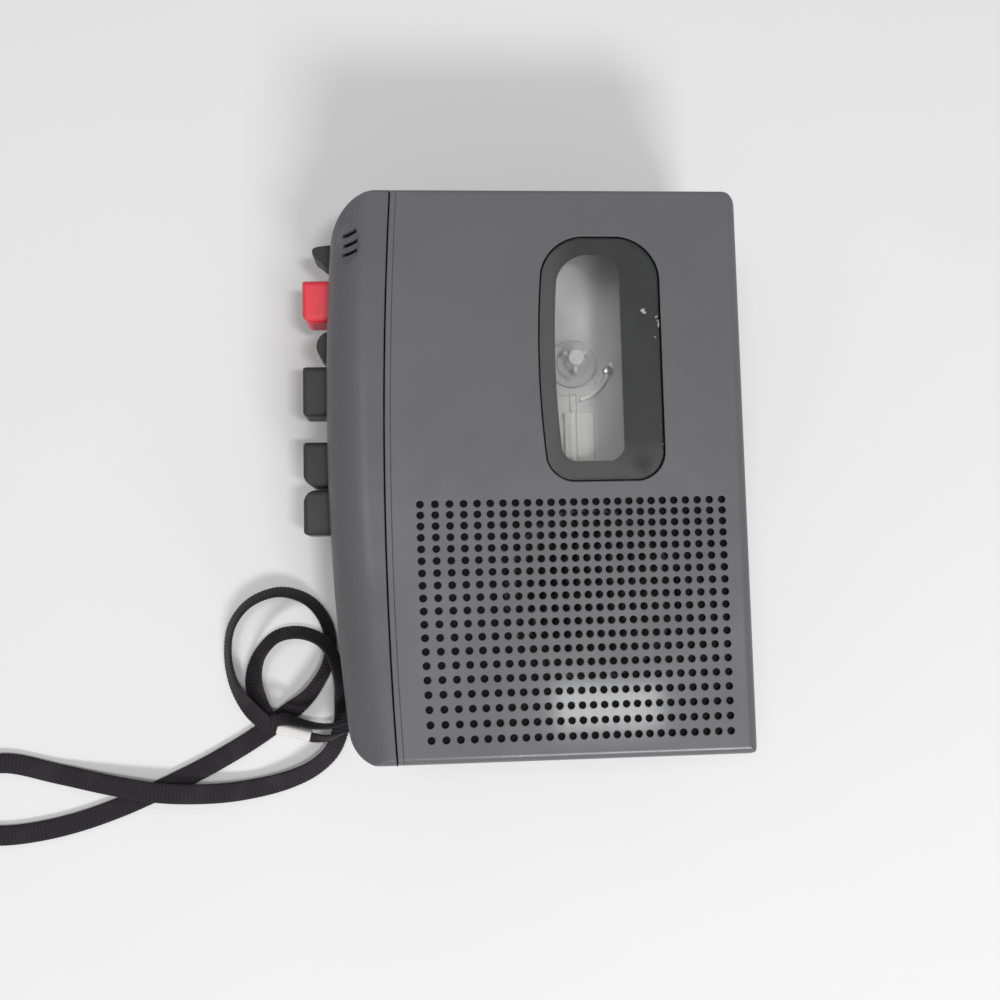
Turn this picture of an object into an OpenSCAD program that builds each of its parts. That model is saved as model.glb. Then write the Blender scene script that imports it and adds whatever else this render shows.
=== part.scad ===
// Handheld cassette recorder lying on its back, with the lid hinged along the right side.
// +X is the right side, +Y the top end, +Z comes out of the front. The back lies on Z = 0.

/* [Body] */
// Room between a cassette and each end of the body
end_room = 6.8; // [6:0.1:9]
// Distance from the middle plane to the right side
body_right = 45.2; // [44.8:0.1:48]
// Distance from the middle plane to the bowed control side
body_left = 39.3; // [39:0.1:42]
// Depth of the body, back to front
body_t = 36.5; // [36:0.1:40]
// Wall thickness of the mouldings
wall = 1.8; // [1.4:0.1:2]
// Radius of the bowed control side, seen from the front
side_r = 550; // [400:10:900]
// Height at which the control side stands furthest out
side_y = 14; // [0:1:20]
// Corner radius at the top of the control side
corner_tl = 11.8; // [9:0.1:13]
// Corner radius at the bottom of the control side
corner_bl = 7.8; // [5:0.1:9]
// Corner radius at the top of the right side
corner_tr = 4; // [2:0.1:5]
// Corner radius at the bottom of the right side
corner_br = 2.2; // [1.5:0.1:4]
// Radius on the edges round the front and the back
edge_r = 2; // [1:0.1:2.5]
// Radius on the front edge of the top end
top_edge_r = 0.8; // [0.5:0.1:2]
// Radius of the shoulder between the front and the control side
shoulder_r = 8.5; // [6:0.5:10]
// Radius of the lid's right front edge
lid_edge_r = 2.2; // [1.5:0.1:4]
// Height of the parting line between rear cover and front cabinet
split_z = 11; // [10:0.1:11.4]

/* [Seam and lid] */
// Distance from the middle plane to the seam at half height
seam_x = 27.4; // [27:0.1:28]
// Bow of the seam over the body's height
seam_bow = 1.8; // [1:0.1:2.5]
// Width of the open seam
seam_gap = 0.34; // [0.3:0.02:0.7]
// Wall thickness of the lid
lid_wall = 1.6; // [1.2:0.1:1.7]
// Height of the lid's lower edge
lid_z = 24; // [23.5:0.1:25]
// Thickness of the lid's panel under the cover
panel_t = 1.5; // [1:0.1:1.8]
// Thickness of the perforated cover
cover_t = 1; // [0.6:0.1:1.4]
// Width of the lid's rim left of the cover
rim_left = 1.1; // [0.8:0.1:2]

/* [Hinge] */
// Radius of the hinge barrel
barrel_r = 2; // [1.8:0.1:2.2]
// Height of the hinge axis
hinge_z = 14.5; // [14.2:0.1:15]
// Length of the lid's barrel
barrel_len = 96; // [88:1:98]
// Radius of the two hinge pins
hinge_pin_r = 0.9; // [0.7:0.05:1]
// Length of each hinge pin
hinge_pin_len = 12; // [10:0.5:13]

/* [Window] */
// Left edge of the window opening
win_x = 3.5; // [2:0.1:6]
// Lower edge of the window opening
win_y = -2.6; // [-4:0.1:0]
// Width of the window opening
win_w = 25.1; // [20:0.1:26]
// Height of the window opening
win_h = 49.9; // [44:0.1:52]
// Corner radius at the top of the window opening
win_r_top = 9.2; // [5:0.1:10]
// Corner radius at the bottom of the window opening
win_r_low = 6; // [4:0.5:8]
// Bow of the window's left side
win_bow = 1.6; // [0.3:0.1:2]
// Ledge under the edge of the lens
win_ledge = 1.6; // [1:0.1:2.5]
// Gap round the window pane
win_gap = 0.4; // [0.2:0.05:0.6]
// Thickness of the printed film under the pane
film_t = 0.2; // [0.15:0.05:0.4]
// Width of the clear strip in the mask
clear_w = 13.5; // [10:0.1:15]
// Width of the mask left of the clear strip
clear_left = 3.5; // [3:0.1:6]
// Width of the mask above and below the clear strip
clear_end = 3.6; // [3:0.1:6]
// Width of the border below the clear field
clear_low = 4.2; // [3:0.1:6]
// Corner radius at the top left of the clear strip
clear_r_top = 6.8; // [3:0.1:7.5]
// Corner radius of the clear field at its upper right
clear_r_side = 4.2; // [3:0.1:6]
// Other corner radii of the clear strip
clear_r = 3.2; // [2:0.1:4]

/* [Grille] */
// Number of hole columns
cols = 26; // [18:1:27]
// Number of hole rows
rows = 19; // [12:1:19]
// Radius of a hole
hole_r = 0.75; // [0.5:0.05:0.85]
// Distance of the right column from the right side
grille_right = 5.6; // [4.8:0.1:8]
// Height of the top row
grille_top = -6.6; // [-8:0.1:-6]
// Closest pitch of the columns
col_pitch = 2.19; // [2:0.01:2.2]
// Widening of the column pitch away from the closest column
col_grow = 0.0035; // [0:0.0001:0.004]
// Pitch of the first two rows
row_pitch = 2.12; // [2:0.01:2.2]
// Widening of the row pitch per row
row_grow = 0.0485; // [0:0.0005:0.05]

/* [Loudspeaker] */
// Radius of the loudspeaker
speaker_r = 18; // [15:0.5:18.5]
// Place of the loudspeaker right of the middle plane
speaker_x = 12.9; // [11:0.1:16]
// Place of the loudspeaker below the middle
speaker_y = 24.8; // [24:0.1:28]
// Depth of the loudspeaker
speaker_t = 5.6; // [4:0.1:5.8]

/* [Controls] */
// How far the keys reach left of the middle plane
key_tip = 44.7; // [43.5:0.1:46]
// Lower face of the keys
key_z = 15.6; // [15.5:0.1:16]
// Height of the keys along Z
key_h = 8.6; // [6:0.1:9]
// Clearance round a key in its slot
key_gap = 0.3; // [0.2:0.05:0.4]
// Travel of a key
key_travel = 2.5; // [1.5:0.1:2.6]
// Middle of the record key
record_y = 37.7; // [37.5:0.1:38.5]
// Length of the record key
record_len = 8.9; // [8:0.1:10.5]
// Middle of the stop key
stop_y = 27.9; // [27.5:0.1:28.5]
// Length of the stop key
stop_len = 6.4; // [5:0.1:6.8]
// How far the stop key stands out of the side
stop_out = 2.6; // [2:0.1:3]
// Middle of the play key
play_y = 18.5; // [18:0.1:18.8]
// Length of the play key
play_len = 10.5; // [8:0.1:10.8]
// Middle of the rewind key
rewind_y = 3.1; // [2.9:0.1:3.4]
// Length of the two winding keys
wind_len = 9.4; // [8:0.1:9.6]
// Gap between the two winding keys
wind_gap = 0.55; // [0.45:0.05:0.8]
// Corner radius where the winding keys face each other
wind_r = 3; // [1:0.1:4]
// Corner radius of the key tips
tip_r = 1; // [0.5:0.1:1.5]
// Middle of the pause fin
pause_y = 48; // [47.8:0.1:48.2]
// Travel of the pause slider
pause_travel = 2; // [1:0.1:2.2]

/* [Tape deck] */
// Place of the reel spindles right of the middle plane
hub_x = 13; // [12.5:0.1:13.2]
// Height of the take-up spindle
hub_y = 25.2; // [24.8:0.1:25.4]
// Distance between the spindles
hub_pitch = 42.5; // [42:0.1:43]
// Distance from the spindle line to the capstan
capstan_dx = 26; // [25.5:0.1:26.5]
// Distance from the middle of the spindles to the capstan
capstan_dy = 31.5; // [31:0.1:32]
// Lower face of the deck plate
deck_z = 15.2; // [15:0.1:15.4]
// Thickness of the deck plate
deck_t = 1.2; // [0.8:0.1:1.3]
// Radius of the reel tables
reel_r = 5.2; // [4:0.1:5.5]
// Radius of the spindle stems
stem_r = 1.7; // [1.5:0.1:2]
// Height of the spindles above the deck
stem_h = 8; // [7.5:0.1:10.5]
// Radius of the capstan
capstan_r = 1; // [0.8:0.05:1.2]
// Radius of the flywheel
fly_r = 14; // [11:0.5:14.5]
// Radius of the motor
motor_r = 11.5; // [9:0.5:11.5]
// Height of the motor
motor_h = 7.7; // [6:0.1:7.8]
// Place of the motor right of the middle plane
motor_x = 27; // [26.5:0.1:27.4]
// Radius of the pinch roller
pinch_r = 4; // [3:0.1:4.2]
// Travel of the head plate
head_travel = 3; // [2:0.1:3.2]

/* [Power and sockets] */
// Radius of a cell
cell_r = 7.25; // [7:0.05:7.3]
// Length of a cell
cell_len = 50.5; // [49:0.1:50.6]
// Radius of the sockets' bores
jack_r = 1.8; // [1.5:0.05:2.2]
// Place of the earphone socket right of the middle plane
ear_x = 8.2; // [7.5:0.1:9]
// Place of the microphone socket left of the middle plane
mic_x = 27.4; // [27.2:0.1:27.6]
// Height of the sockets' axes above the back
jack_z = 6.3; // [6:0.1:6.6]
// Radius of the dials
dial_r = 9; // [8:0.1:9.2]
// Thickness of the dials
dial_t = 3; // [2:0.1:3.4]
// Height of the volume dial's axis
volume_y = 14; // [13:0.1:15]
// Distance from the volume dial down to the speed dial
dial_pitch = 20; // [19.5:0.1:21]

/* [Strap] */
// Width of the strap's tape
tape_w = 4.4; // [3:0.1:4.6]
// Width of the short lanyard's tape
lanyard_w = 2.8; // [2:0.1:4]
// Thickness of the strap's tape
tape_t = 1; // [0.8:0.05:1.1]
// Radius of the strap pin
strap_pin_r = 0.9; // [0.7:0.05:1]
// Length of the white sleeve
sleeve_len = 7.6; // [6:0.1:8]

/* [Fits] */
// Radial clearance of a running fit
run_fit = 0.05; // [0.03:0.01:0.08]
// Clearance between parts that move past each other
move_gap = 0.3; // [0.25:0.01:0.4]
// Clearance round a part that is laid in
lay_gap = 0.1; // [0.05:0.01:0.15]

/* [Hidden] */
$fn = 48;
far = 120;
cassette_len = 100.4;
body_h = cassette_len + 2 * end_room;
half_h = body_h / 2;
top_in = half_h - wall;
right_in = body_right - wall;
side_cx = side_r - body_left;
seam_r = (half_h * half_h + seam_bow * seam_bow) / (2 * seam_bow);
seam_cx = seam_r - seam_x;

// Lid levels
cover_z = body_t - cover_t;
panel_z = cover_z - panel_t;
ring_top = lid_z - move_gap;
hinge_x = body_right - barrel_r;
barrel_half = barrel_len / 2;
ear_y = barrel_half + move_gap;

// Opening between the control column and the cassette well
open_low = 30.5 - half_h;
open_high = half_h - 13;
open_z = 29.5;

// Tape deck levels and places
deck_top = deck_z + deck_t;
reel_z = deck_top + move_gap;
reel_t = 1.4;
supply_y = hub_y - hub_pitch;
cassette_y = hub_y - hub_pitch / 2;
capstan_x = hub_x - capstan_dx;
capstan_y = cassette_y + capstan_dy;
cassette_left = capstan_x - 8.3;
deck_right = hinge_x - barrel_r - 0.7;
deck_left = -30.6;
wheel_z = deck_z - 1.8;
wheel_t = 1.2;
drive_r = 5;
reel_wheel_r = 9.9;
reach = norm([hub_x - capstan_x, hub_y - capstan_y]);
idler_r = (reach - drive_r - reel_wheel_r) / 2 - move_gap;
idler_at = drive_r + idler_r + move_gap;
idler_x = capstan_x + (hub_x - capstan_x) * idler_at / reach;
idler_y = capstan_y + (hub_y - capstan_y) * idler_at / reach;
idler_pin_r = 1.2;
motor_y = top_in - motor_r - 1.5;
motor_z = wall + move_gap;
belt_z = motor_z + motor_h + 1.4;
belt_t = 1;
groove_r = fly_r - 1;
pulley_r = 2.6;
plate_z = deck_top + move_gap;
plate_t = 0.9;
plate_left = -29;
plate_right = cassette_left - 1.9;
plate_low = cassette_y - 27;
arm_x = -26.2;
arm_y = cassette_y + 10.55;
arm_pin_r = 1.5;
arm_z = plate_z + plate_t + 0.7;
arm_t = 1.2;
roller_pin_r = 0.8;
roller_len = 7;

// Microphone and lid tongue
mic_y = half_h - 10.6;
mic_tilt = 34;
mic_dish_r = 8.5;
mic_dish = 1.2;
tongue_y = half_h - 11.5;
tongue_len = 6;

// Keys
key_edge_r = 1.2;
key_end = -33.5;
key_top = key_z + key_h;
ff_y = rewind_y - wind_len - wind_gap;
flange_t = 1.2;
flange_out = 1.4;

// Power and controls
cell_y1 = -top_in + 0.6 + cell_r;
cell_y2 = cell_y1 + 2 * cell_r + 0.3;
cell_z = wall + 0.3 + cell_r;
box_wall = 1;
box_right = hinge_x - barrel_r - 0.4;
cell_x1 = box_right - box_wall - 0.5;
cell_x0 = cell_x1 - cell_len;
box_left = cell_x0 - 1.8 - box_wall;
box_low = -top_in + 0.2;
box_high = cell_y2 + cell_r + 0.4 + box_wall;
roof_z = cell_z + cell_r + 0.3;
door_x0 = box_left + box_wall + 0.5;
door_x1 = box_right - box_wall - 0.5;
door_y1 = box_high - box_wall - 0.6;
door_rise = 0.2;
door_wall_h = 7.5;
dial_x = body_right - 0.2 - dial_r;
dial_z = wall + 2.2;
pot_r = 2;
speed_y = volume_y - dial_pitch;
vor_x = -8;
vor_travel = 3;
vor_z = 6;
board_z = wall + 2.2;
board_t = 1.2;
board_low = 18.5 - half_h;
board_len = 48;
board_right = box_left - 0.6;
strap_x = 5 - body_left;
strap_y = 5 - half_h;
pocket_z0 = 4;
pocket_z1 = 9.6;

deck_posts = [[arm_x - 0.3, arm_y - 0.5], [-20, 14.5 - half_h], [36.2, supply_y - 1.3], [37.4, hub_y + 1.8]];
board_posts = [for (x = [-17.8, -2.8], y = [4, 44]) [board_right + x, board_low + y]];
case_screws = [[-17.5, top_in - 2.2], [37.6, top_in - 2.2], [-20, -top_in + 2.2]];
post_r = 2.4;
screw_r = 0.95;
screw_head_r = 2;
screw_top = 16;

// Shared outlines and solids

// X of the bowed side at height y, inset by d
function side_at(y, d) = side_cx - sqrt(pow(side_r - d, 2) - pow(y - side_y, 2));

// X of the seam at height y
function seam_at(y) = seam_cx - sqrt(seam_r * seam_r - y * y);

// Rounded rectangle with its lower left corner at the origin
module round_rect(w, h, r) {
    translate([r, 0]) square([w - 2 * r, h]);
    translate([0, r]) square([w, h - 2 * r]);
    for (x = [r, w - r], y = [r, h - r]) translate([x, y]) circle(r);
}

// Strip of the body's height with rounded right corners, inset by d
module band(d) {
    x = body_right - d;
    y = half_h - d;
    difference() {
        translate([-far, -y]) square([far + x, 2 * y]);
        right_cut(x, y, max(corner_tr - d, 0.3), 1);
        right_cut(x, y, max(corner_br - d, 0.3), -1);
    }
}

// What rounds off a right corner. The arc is a hair larger so that it crosses the sides.
module right_cut(x, y, r, s) {
    difference() {
        translate([x - r, s > 0 ? y - r : -y - 1]) square(r + 1);
        translate([x - r, s * (y - r)]) circle(r + 0.03);
    }
}

// What a rounded left corner takes away: s is 1 at the top and -1 at the bottom.
// The arc stands a little proud, so that it crosses the faces it joins.
module corner_cut(d, radius, s) {
    r = max(radius - d, 0.4);
    y = s * (half_h - d - r);
    c = [side_cx - sqrt(pow(side_r - d - r, 2) - pow(y - side_y, 2)), y];
    out = c + 40 * (c - [side_cx, side_y]) / (side_r - d - r);
    difference() {
        polygon([c, [c.x, s * far], [-far, s * far], out]);
        translate(c) circle(r + 0.04);
    }
}

// Outline of the body seen from the front without its bowed side, inset by d
module frame_plan(d) {
    difference() {
        band(d);
        corner_cut(d, corner_tl, 1);
        corner_cut(d, corner_bl, -1);
    }
}

// Outline of the body seen from the front, inset by d
module plan(d) {
    intersection() {
        frame_plan(d);
        translate([side_cx, side_y]) circle(side_r - d, $fn = 720);
    }
}

// Disc that ends at the seam, grown by g towards the control side
module seam_disc(g) {
    translate([seam_cx, 0]) circle(seam_r + g, $fn = 720);
}

// Solid of revolution whose rim is the bowed side with its shoulder, inset by d
module side_round(d) {
    rim = side_r - d;
    rs = max(shoulder_r - d, 0.5);
    rb = max(edge_r - d, 0.3);
    translate([side_cx, side_y, 0]) rotate_extrude($fn = 720) {
        translate([rim - far, d]) square([far - rs, body_t - 2 * d]);
        translate([rim - rs - 1, d]) square([rs + 1 - rb, body_t - 2 * d - rs]);
        translate([rim - rb - 1, d + rb]) square([rb + 1, body_t - 2 * d - rs - rb]);
        translate([rim - rs, body_t - d - rs]) circle(rs);
        translate([rim - rb, d + rb]) circle(rb);
    }
}

// Rounding of the front and back edges at the two ends
module end_round() {
    patch = edge_r + 1;
    translate([-far, -half_h, 0]) rotate([90, 0, 90]) linear_extrude(2 * far) {
        round_rect(body_h, body_t, edge_r);
        translate([body_h - patch, body_t - patch]) round_rect(patch, patch, top_edge_r);
    }
}

// Rounding of the front and back edges at the right side
module right_round() {
    translate([0, half_h + 1, 0]) rotate([90, 0, 0]) linear_extrude(body_h + 2) {
        translate([-far, 0]) square([far + body_right - lid_edge_r, body_t]);
        translate([-far, edge_r]) square([far + body_right, body_t - edge_r - lid_edge_r]);
        translate([0, 0]) square([body_right - edge_r, edge_r + 1]);
        translate([body_right - edge_r, edge_r]) circle(edge_r);
        translate([body_right - lid_edge_r, body_t - lid_edge_r]) circle(lid_edge_r);
    }
}

// The whole outer form, cut to the layer from z0 to z1
module body_layer(z0, z1) {
    intersection() {
        translate([0, 0, z0]) linear_extrude(z1 - z0) frame_plan(0);
        side_round(0);
        end_round();
        right_round();
    }
}

// Cylinder along +X, +Y
module along_x(r, h) { rotate([0, 90, 0]) cylinder(r = r, h = h); }
module along_y(r, h) { rotate([-90, 0, 0]) cylinder(r = r, h = h); }

// Box from its corners
module span(a, b) { translate(a) cube(b - a); }

// Housing

module rear_cover() {
    color("dimgray") difference() {
        union() {
            difference() {
                body_layer(0, split_z);
                translate([0, 0, wall]) linear_extrude(split_z) plan(wall);
            }
            for (p = deck_posts) translate([p.x, p.y, wall / 2]) cylinder(r = post_r, h = deck_z - wall / 2);
            for (p = board_posts) translate([p.x, p.y, wall / 2]) cylinder(r = 1.6, h = board_z - wall / 2);
            for (p = case_screws) translate([p.x, p.y, wall / 2])
                cylinder(r = post_r, h = split_z - wall / 2);
            translate([capstan_x, capstan_y, wall / 2]) cylinder(r = 3, h = wall / 2 + 2);
            strap_block();
        }
        translate([capstan_x, capstan_y, wall]) cylinder(r = capstan_r + run_fit, h = split_z);
        for (p = case_screws) translate([p.x, p.y, -1]) {
            cylinder(r = screw_r + lay_gap, h = split_z + 2);
            cylinder(r = screw_head_r + lay_gap, h = 1 + wall);
        }
        strap_pocket();
        translate([strap_x, strap_y, wall]) cylinder(r = strap_pin_r + run_fit, h = split_z);
        for (y = [volume_y, speed_y]) dial_slot(y);
        for (x = [ear_x, -mic_x]) translate([x, top_in - 1, jack_z]) along_y(3 + lay_gap, wall + 2);
        span([vor_x - 2 - move_gap, top_in - 0.5, vor_z - 1.5 - move_gap],
            [vor_x + 2 + vor_travel + move_gap, half_h + 1, vor_z + 1.5 + move_gap]);
        door_cut();
    }
}

// Block that closes the corner round the strap pocket
module strap_block() {
    intersection() {
        translate([0, 0, wall / 2]) linear_extrude(split_z - wall / 2) plan(wall / 2);
        span([-far, -half_h, 0], [strap_x + 4.6, strap_y + 4.6, split_z]);
    }
}

module strap_pocket() {
    span([-far, strap_y - 2.8, pocket_z0], [strap_x + 3, strap_y + 2.8, pocket_z1]);
}

// Slot in the right wall for a dial
module dial_slot(y) {
    half = sqrt(pow(dial_r + move_gap, 2) - pow(right_in - dial_x, 2)) + move_gap;
    span([right_in - 0.5, y - half, dial_z - move_gap],
        [body_right + 1, y + half, dial_z + dial_t + move_gap]);
}

// Opening of the battery door with the grooves for its tongues
module door_cut() {
    span([door_x0 - move_gap, -half_h - 1, -1], [door_x1 + move_gap, door_y1 + move_gap, wall + 0.1]);
    span([door_x0 - move_gap, -half_h - 1, -1], [door_x1 + move_gap, -top_in + 0.1, door_wall_h + move_gap]);
    span([door_x0 - 1.1, -half_h - 1, 0.5], [door_x1 + 1.1, door_y1 + move_gap, wall + 0.1]);
}

module front_cabinet() {
    color("dimgray") difference() {
        union() {
            difference() {
                body_layer(split_z, body_t);
                translate([0, 0, ring_top]) linear_extrude(body_t) seam_disc(seam_gap / 2);
                translate([0, 0, split_z - 1]) linear_extrude(body_t) intersection() {
                    plan(wall);
                    seam_disc(seam_gap / 2);
                }
                column_hollow();
                span([right_in - 3, -ear_y, split_z + 1], [body_right + 1, ear_y, body_t]);
                span([hinge_x - 2, -far, lid_z - 1.2], [body_right + 1, far, body_t]);
            }
            for (s = [-1, 1]) ear(s);
            for (p = case_screws) translate([p.x, p.y, split_z])
                cylinder(r = post_r, h = screw_top + 1 - split_z);
        }
        span([key_end, open_low, split_z - 1], [-24, open_high, open_z]);
        for (s = [-1, 1]) translate([hinge_x, s * (ear_y + 3) - 4, hinge_z]) along_y(hinge_pin_r, 8);
        for (p = case_screws) translate([p.x, p.y, split_z - 1])
            cylinder(r = screw_r, h = screw_top + 1 - split_z);
        key_slot(record_y, record_len);
        key_slot(stop_y, stop_len);
        key_slot(play_y, play_len);
        key_slot(rewind_y, wind_len);
        key_slot(ff_y, wind_len);
        pause_slot();
        mic_facet();
    }
}

// Space inside the control column
module column_hollow() {
    intersection() {
        side_round(wall);
        translate([0, 0, split_z - 1]) linear_extrude(body_t) difference() {
            frame_plan(wall);
            seam_disc(seam_gap / 2 + wall);
        }
    }
}

// Ear that holds a hinge pin: s is 1 at the top end
module ear(s) {
    translate([hinge_x, s > 0 ? ear_y : -half_h + wall / 2, hinge_z])
        along_y(barrel_r, half_h - wall / 2 - ear_y);
}

module key_slot(y, len) {
    span([-far, y - len / 2 - key_gap, key_z - key_gap], [-35.4, y + len / 2 + key_gap, key_top + key_gap]);
}

module pause_slot() {
    span([-far, pause_y - 1.5 - key_gap, key_z + 1 - key_gap],
        [-33.4, pause_y + 1.5 + pause_travel + key_gap, key_top - 1.6 + key_gap]);
}

// Flat on the shoulder with three slanted slits for the microphone
module mic_facet() {
    translate([side_at(mic_y, 0) + shoulder_r, mic_y, body_t - shoulder_r]) rotate([0, -mic_tilt, 0]) {
        translate([0.2, 0, shoulder_r - mic_dish + mic_dish_r]) sphere(mic_dish_r, $fn = 96);
        for (i = [-1 : 1]) translate([0, i * 2, 0]) rotate([0, 0, 10])
            span([-1.5, -0.4, 4], [2.3, 0.4, shoulder_r + 2]);
    }
}

// Sliding door with tongues at its sides and grip grooves across its inner end
module battery_door() {
    middle = (door_x0 + door_x1) / 2;
    color("dimgray") difference() {
        union() {
            intersection() {
                body_layer(door_rise, door_wall_h);
                union() {
                    span([door_x0, -half_h, door_rise], [door_x1, door_y1, wall - 0.1]);
                    span([door_x0, -half_h, door_rise], [door_x1, -top_in - lay_gap, door_wall_h]);
                }
            }
            for (x = [door_x0 - 0.7, door_x1 - 1]) span([x, -top_in, 0.8], [x + 1.7, door_y1, 1.4]);
        }
        for (i = [0 : 5]) span([middle - 9, door_y1 - 4 - 1.6 * i, -1],
            [middle + 9, door_y1 - 3.2 - 1.6 * i, door_rise + 0.5]);
    }
}

module battery_box() {
    color("gray") difference() {
        span([box_left, box_low, wall], [box_right, box_high, roof_z + box_wall]);
        span([box_left + box_wall, box_low + box_wall / 4, wall - 1],
            [box_right - box_wall, box_high - box_wall, roof_z]);
    }
}

module case_screws_set() {
    color("silver") for (p = case_screws) translate([p.x, p.y, 0]) difference() {
        union() {
            translate([0, 0, 0.6]) cylinder(r = screw_head_r, h = wall - 0.6);
            translate([0, 0, 0.6]) cylinder(r = screw_r, h = screw_top - 0.6);
        }
        for (a = [0, 90]) rotate([0, 0, a]) span([-1.1, -0.25, 0], [1.1, 0.25, 1.3]);
    }
}

module hinge_pin(s) {
    translate([hinge_x, s * (ear_y + 1) - hinge_pin_len / 2, hinge_z]) along_y(hinge_pin_r, hinge_pin_len);
}
module hinge_pin_upper() { color("silver") hinge_pin(1); }
module hinge_pin_lower() { color("silver") hinge_pin(-1); }

// Lid

// Outline of the perforated cover, grown by g
module cover_plan(g) {
    seam_disc(g - seam_gap / 2 - rim_left);
}

// How far the side of a bowed rectangle of height h stands in at height y
function bow_at(h, bow, y) =
    let (big = (h * h / 4 + bow * bow) / (2 * bow))
    big - sqrt(big * big - pow(y - h / 2, 2));

// Rectangle with a bowed left side. The corner radii run from the top left to the bottom left,
// and each arc is a hair larger so that it crosses the sides.
module bowed_rect(w, h, bow, radii) {
    big = (h * h / 4 + bow * bow) / (2 * bow);
    left_top = [bow_at(h, bow, h - radii[0]) + radii[0], h - radii[0]];
    left_low = [bow_at(h, bow, radii[3]) + radii[3], radii[3]];
    difference() {
        intersection() {
            square([w, h]);
            translate([big, h / 2]) circle(big, $fn = 720);
        }
        difference() {
            translate([-1, left_top.y]) square([left_top.x + 1, radii[0] + 1]);
            translate(left_top) circle(radii[0] + 0.03);
        }
        difference() {
            translate([w - radii[1], h - radii[1]]) square(radii[1] + 1);
            translate([w - radii[1], h - radii[1]]) circle(radii[1] + 0.03);
        }
        difference() {
            translate([w - radii[2], -1]) square(radii[2] + 1);
            translate([w - radii[2], radii[2]]) circle(radii[2] + 0.03);
        }
        difference() {
            translate([-1, -1]) square([left_low.x + 1, radii[3] + 1]);
            translate(left_low) circle(radii[3] + 0.03);
        }
    }
}

// Outline of the window opening, inset all round
module window_plan(inset) {
    top = max(win_r_top - inset, 1);
    low = max(win_r_low - inset, 1);
    translate([win_x + inset, win_y + inset])
        bowed_rect(win_w - 2 * inset, win_h - 2 * inset, win_bow, [top, top, low, low]);
}

module lid_frame() {
    color("dimgray") difference() {
        union() {
            intersection() {
                body_layer(lid_z, body_t);
                linear_extrude(body_t) seam_disc(-seam_gap / 2);
            }
            span([body_right - lid_wall, -barrel_half, hinge_z], [body_right, barrel_half, lid_z + 1]);
            translate([hinge_x, -barrel_half, hinge_z]) along_y(barrel_r, barrel_len);
        }
        translate([0, 0, lid_z - 1]) linear_extrude(panel_z - lid_z + 1) intersection() {
            plan(lid_wall);
            seam_disc(-seam_gap / 2 - lid_wall);
        }
        translate([0, 0, cover_z]) linear_extrude(cover_t + 1) cover_plan(lay_gap / 2);
        translate([0, 0, panel_z - 1]) linear_extrude(panel_t + 2) window_plan(win_ledge);
        translate([speaker_x, -speaker_y, panel_z - 1]) cylinder(r = speaker_r - 0.8, h = panel_t + 2);
        span([-far, open_low - move_gap, lid_z - 1], [-24, open_high + move_gap, open_z + move_gap]);
        for (s = [-1, 1]) translate([hinge_x, s * (barrel_half - 4) - 4, hinge_z])
            along_y(hinge_pin_r + run_fit, 8);
    }
}

// Columns close up towards the seventh tenth of the width, rows open out downwards
function pitch_at(i) = col_pitch + col_grow * pow(i - 14.5, 2);
function col_at(i) = i == 0 ? 0 : col_at(i - 1) + pitch_at(cols - 1 - i);
function row_at(j) = grille_top - row_pitch * j - row_grow * j * (j - 1) / 2;

// The left column follows the seam's arc, the right one is straight
module grille_holes() {
    span_x = col_at(cols - 1);
    for (i = [0 : cols - 1], j = [0 : rows - 1]) {
        share = col_at(i) / span_x;
        bend = seam_at(row_at(j)) - seam_at(speaker_y);
        translate([body_right - grille_right - col_at(i) + share * bend, row_at(j)]) circle(hole_r, $fn = 16);
    }
}

module lid_cover() {
    color("dimgray") difference() {
        intersection() {
            body_layer(cover_z, body_t);
            translate([0, 0, cover_z - 1]) linear_extrude(cover_t + 2) cover_plan(0);
        }
        translate([0, 0, cover_z - 1]) linear_extrude(cover_t + 2) {
            window_plan(0);
            grille_holes();
        }
    }
}

module window_lens() {
    color("lightgray", 0.4) translate([0, 0, cover_z + film_t])
        linear_extrude(cover_t - film_t - 0.1) window_plan(win_gap);
}

module window_mask() {
    clear_h = win_h - clear_end - clear_low;
    color("black") translate([0, 0, cover_z]) linear_extrude(film_t) difference() {
        window_plan(win_gap);
        translate([win_x + clear_left, win_y + clear_low])
            bowed_rect(clear_w, clear_h, win_bow * pow(clear_h / win_h, 2),
                [clear_r_top, clear_r_side, clear_r, clear_r]);
    }
}

// Tongue that holds the closed lid by friction beside the control column
module lid_tongue() {
    x = seam_at(tongue_y + tongue_len) + seam_gap / 2 + lid_wall + 0.06;
    color("gray") {
        span([x, tongue_y, lid_z - 5], [x + 1.2, tongue_y + tongue_len, panel_z]);
        translate([x + 0.6, tongue_y, lid_z - 5]) along_y(0.6, tongue_len);
    }
}

// Two bent leaves that hold the cassette down
module cassette_springs() {
    x0 = win_x + win_w + 1.5;
    x1 = body_right - lid_wall - 1.5;
    low = panel_z - 6.2;
    color("silver") for (y = [14, 36]) translate([0, y + 5, 0]) rotate([90, 0, 0]) linear_extrude(5)
        polygon([[x0, panel_z], [(x0 + x1) / 2 - 1, low], [(x0 + x1) / 2 + 1, low], [x1, panel_z],
            [x1 - 0.6, panel_z], [(x0 + x1) / 2 + 0.8, low + 0.4], [(x0 + x1) / 2 - 0.8, low + 0.4],
            [x0 + 0.6, panel_z]]);
}

module speaker_basket() {
    color("darkgray") translate([speaker_x, -speaker_y, 0]) rotate_extrude() polygon([
        [speaker_r, panel_z], [speaker_r, panel_z - 0.9], [speaker_r - 2, panel_z - 1.2],
        [9, panel_z - speaker_t + 1.9], [3, panel_z - speaker_t + 1.9], [3, panel_z - speaker_t + 2.6],
        [8.6, panel_z - speaker_t + 2.6], [speaker_r - 2.2, panel_z - 0.7], [speaker_r - 1.6, panel_z]]);
}

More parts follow.
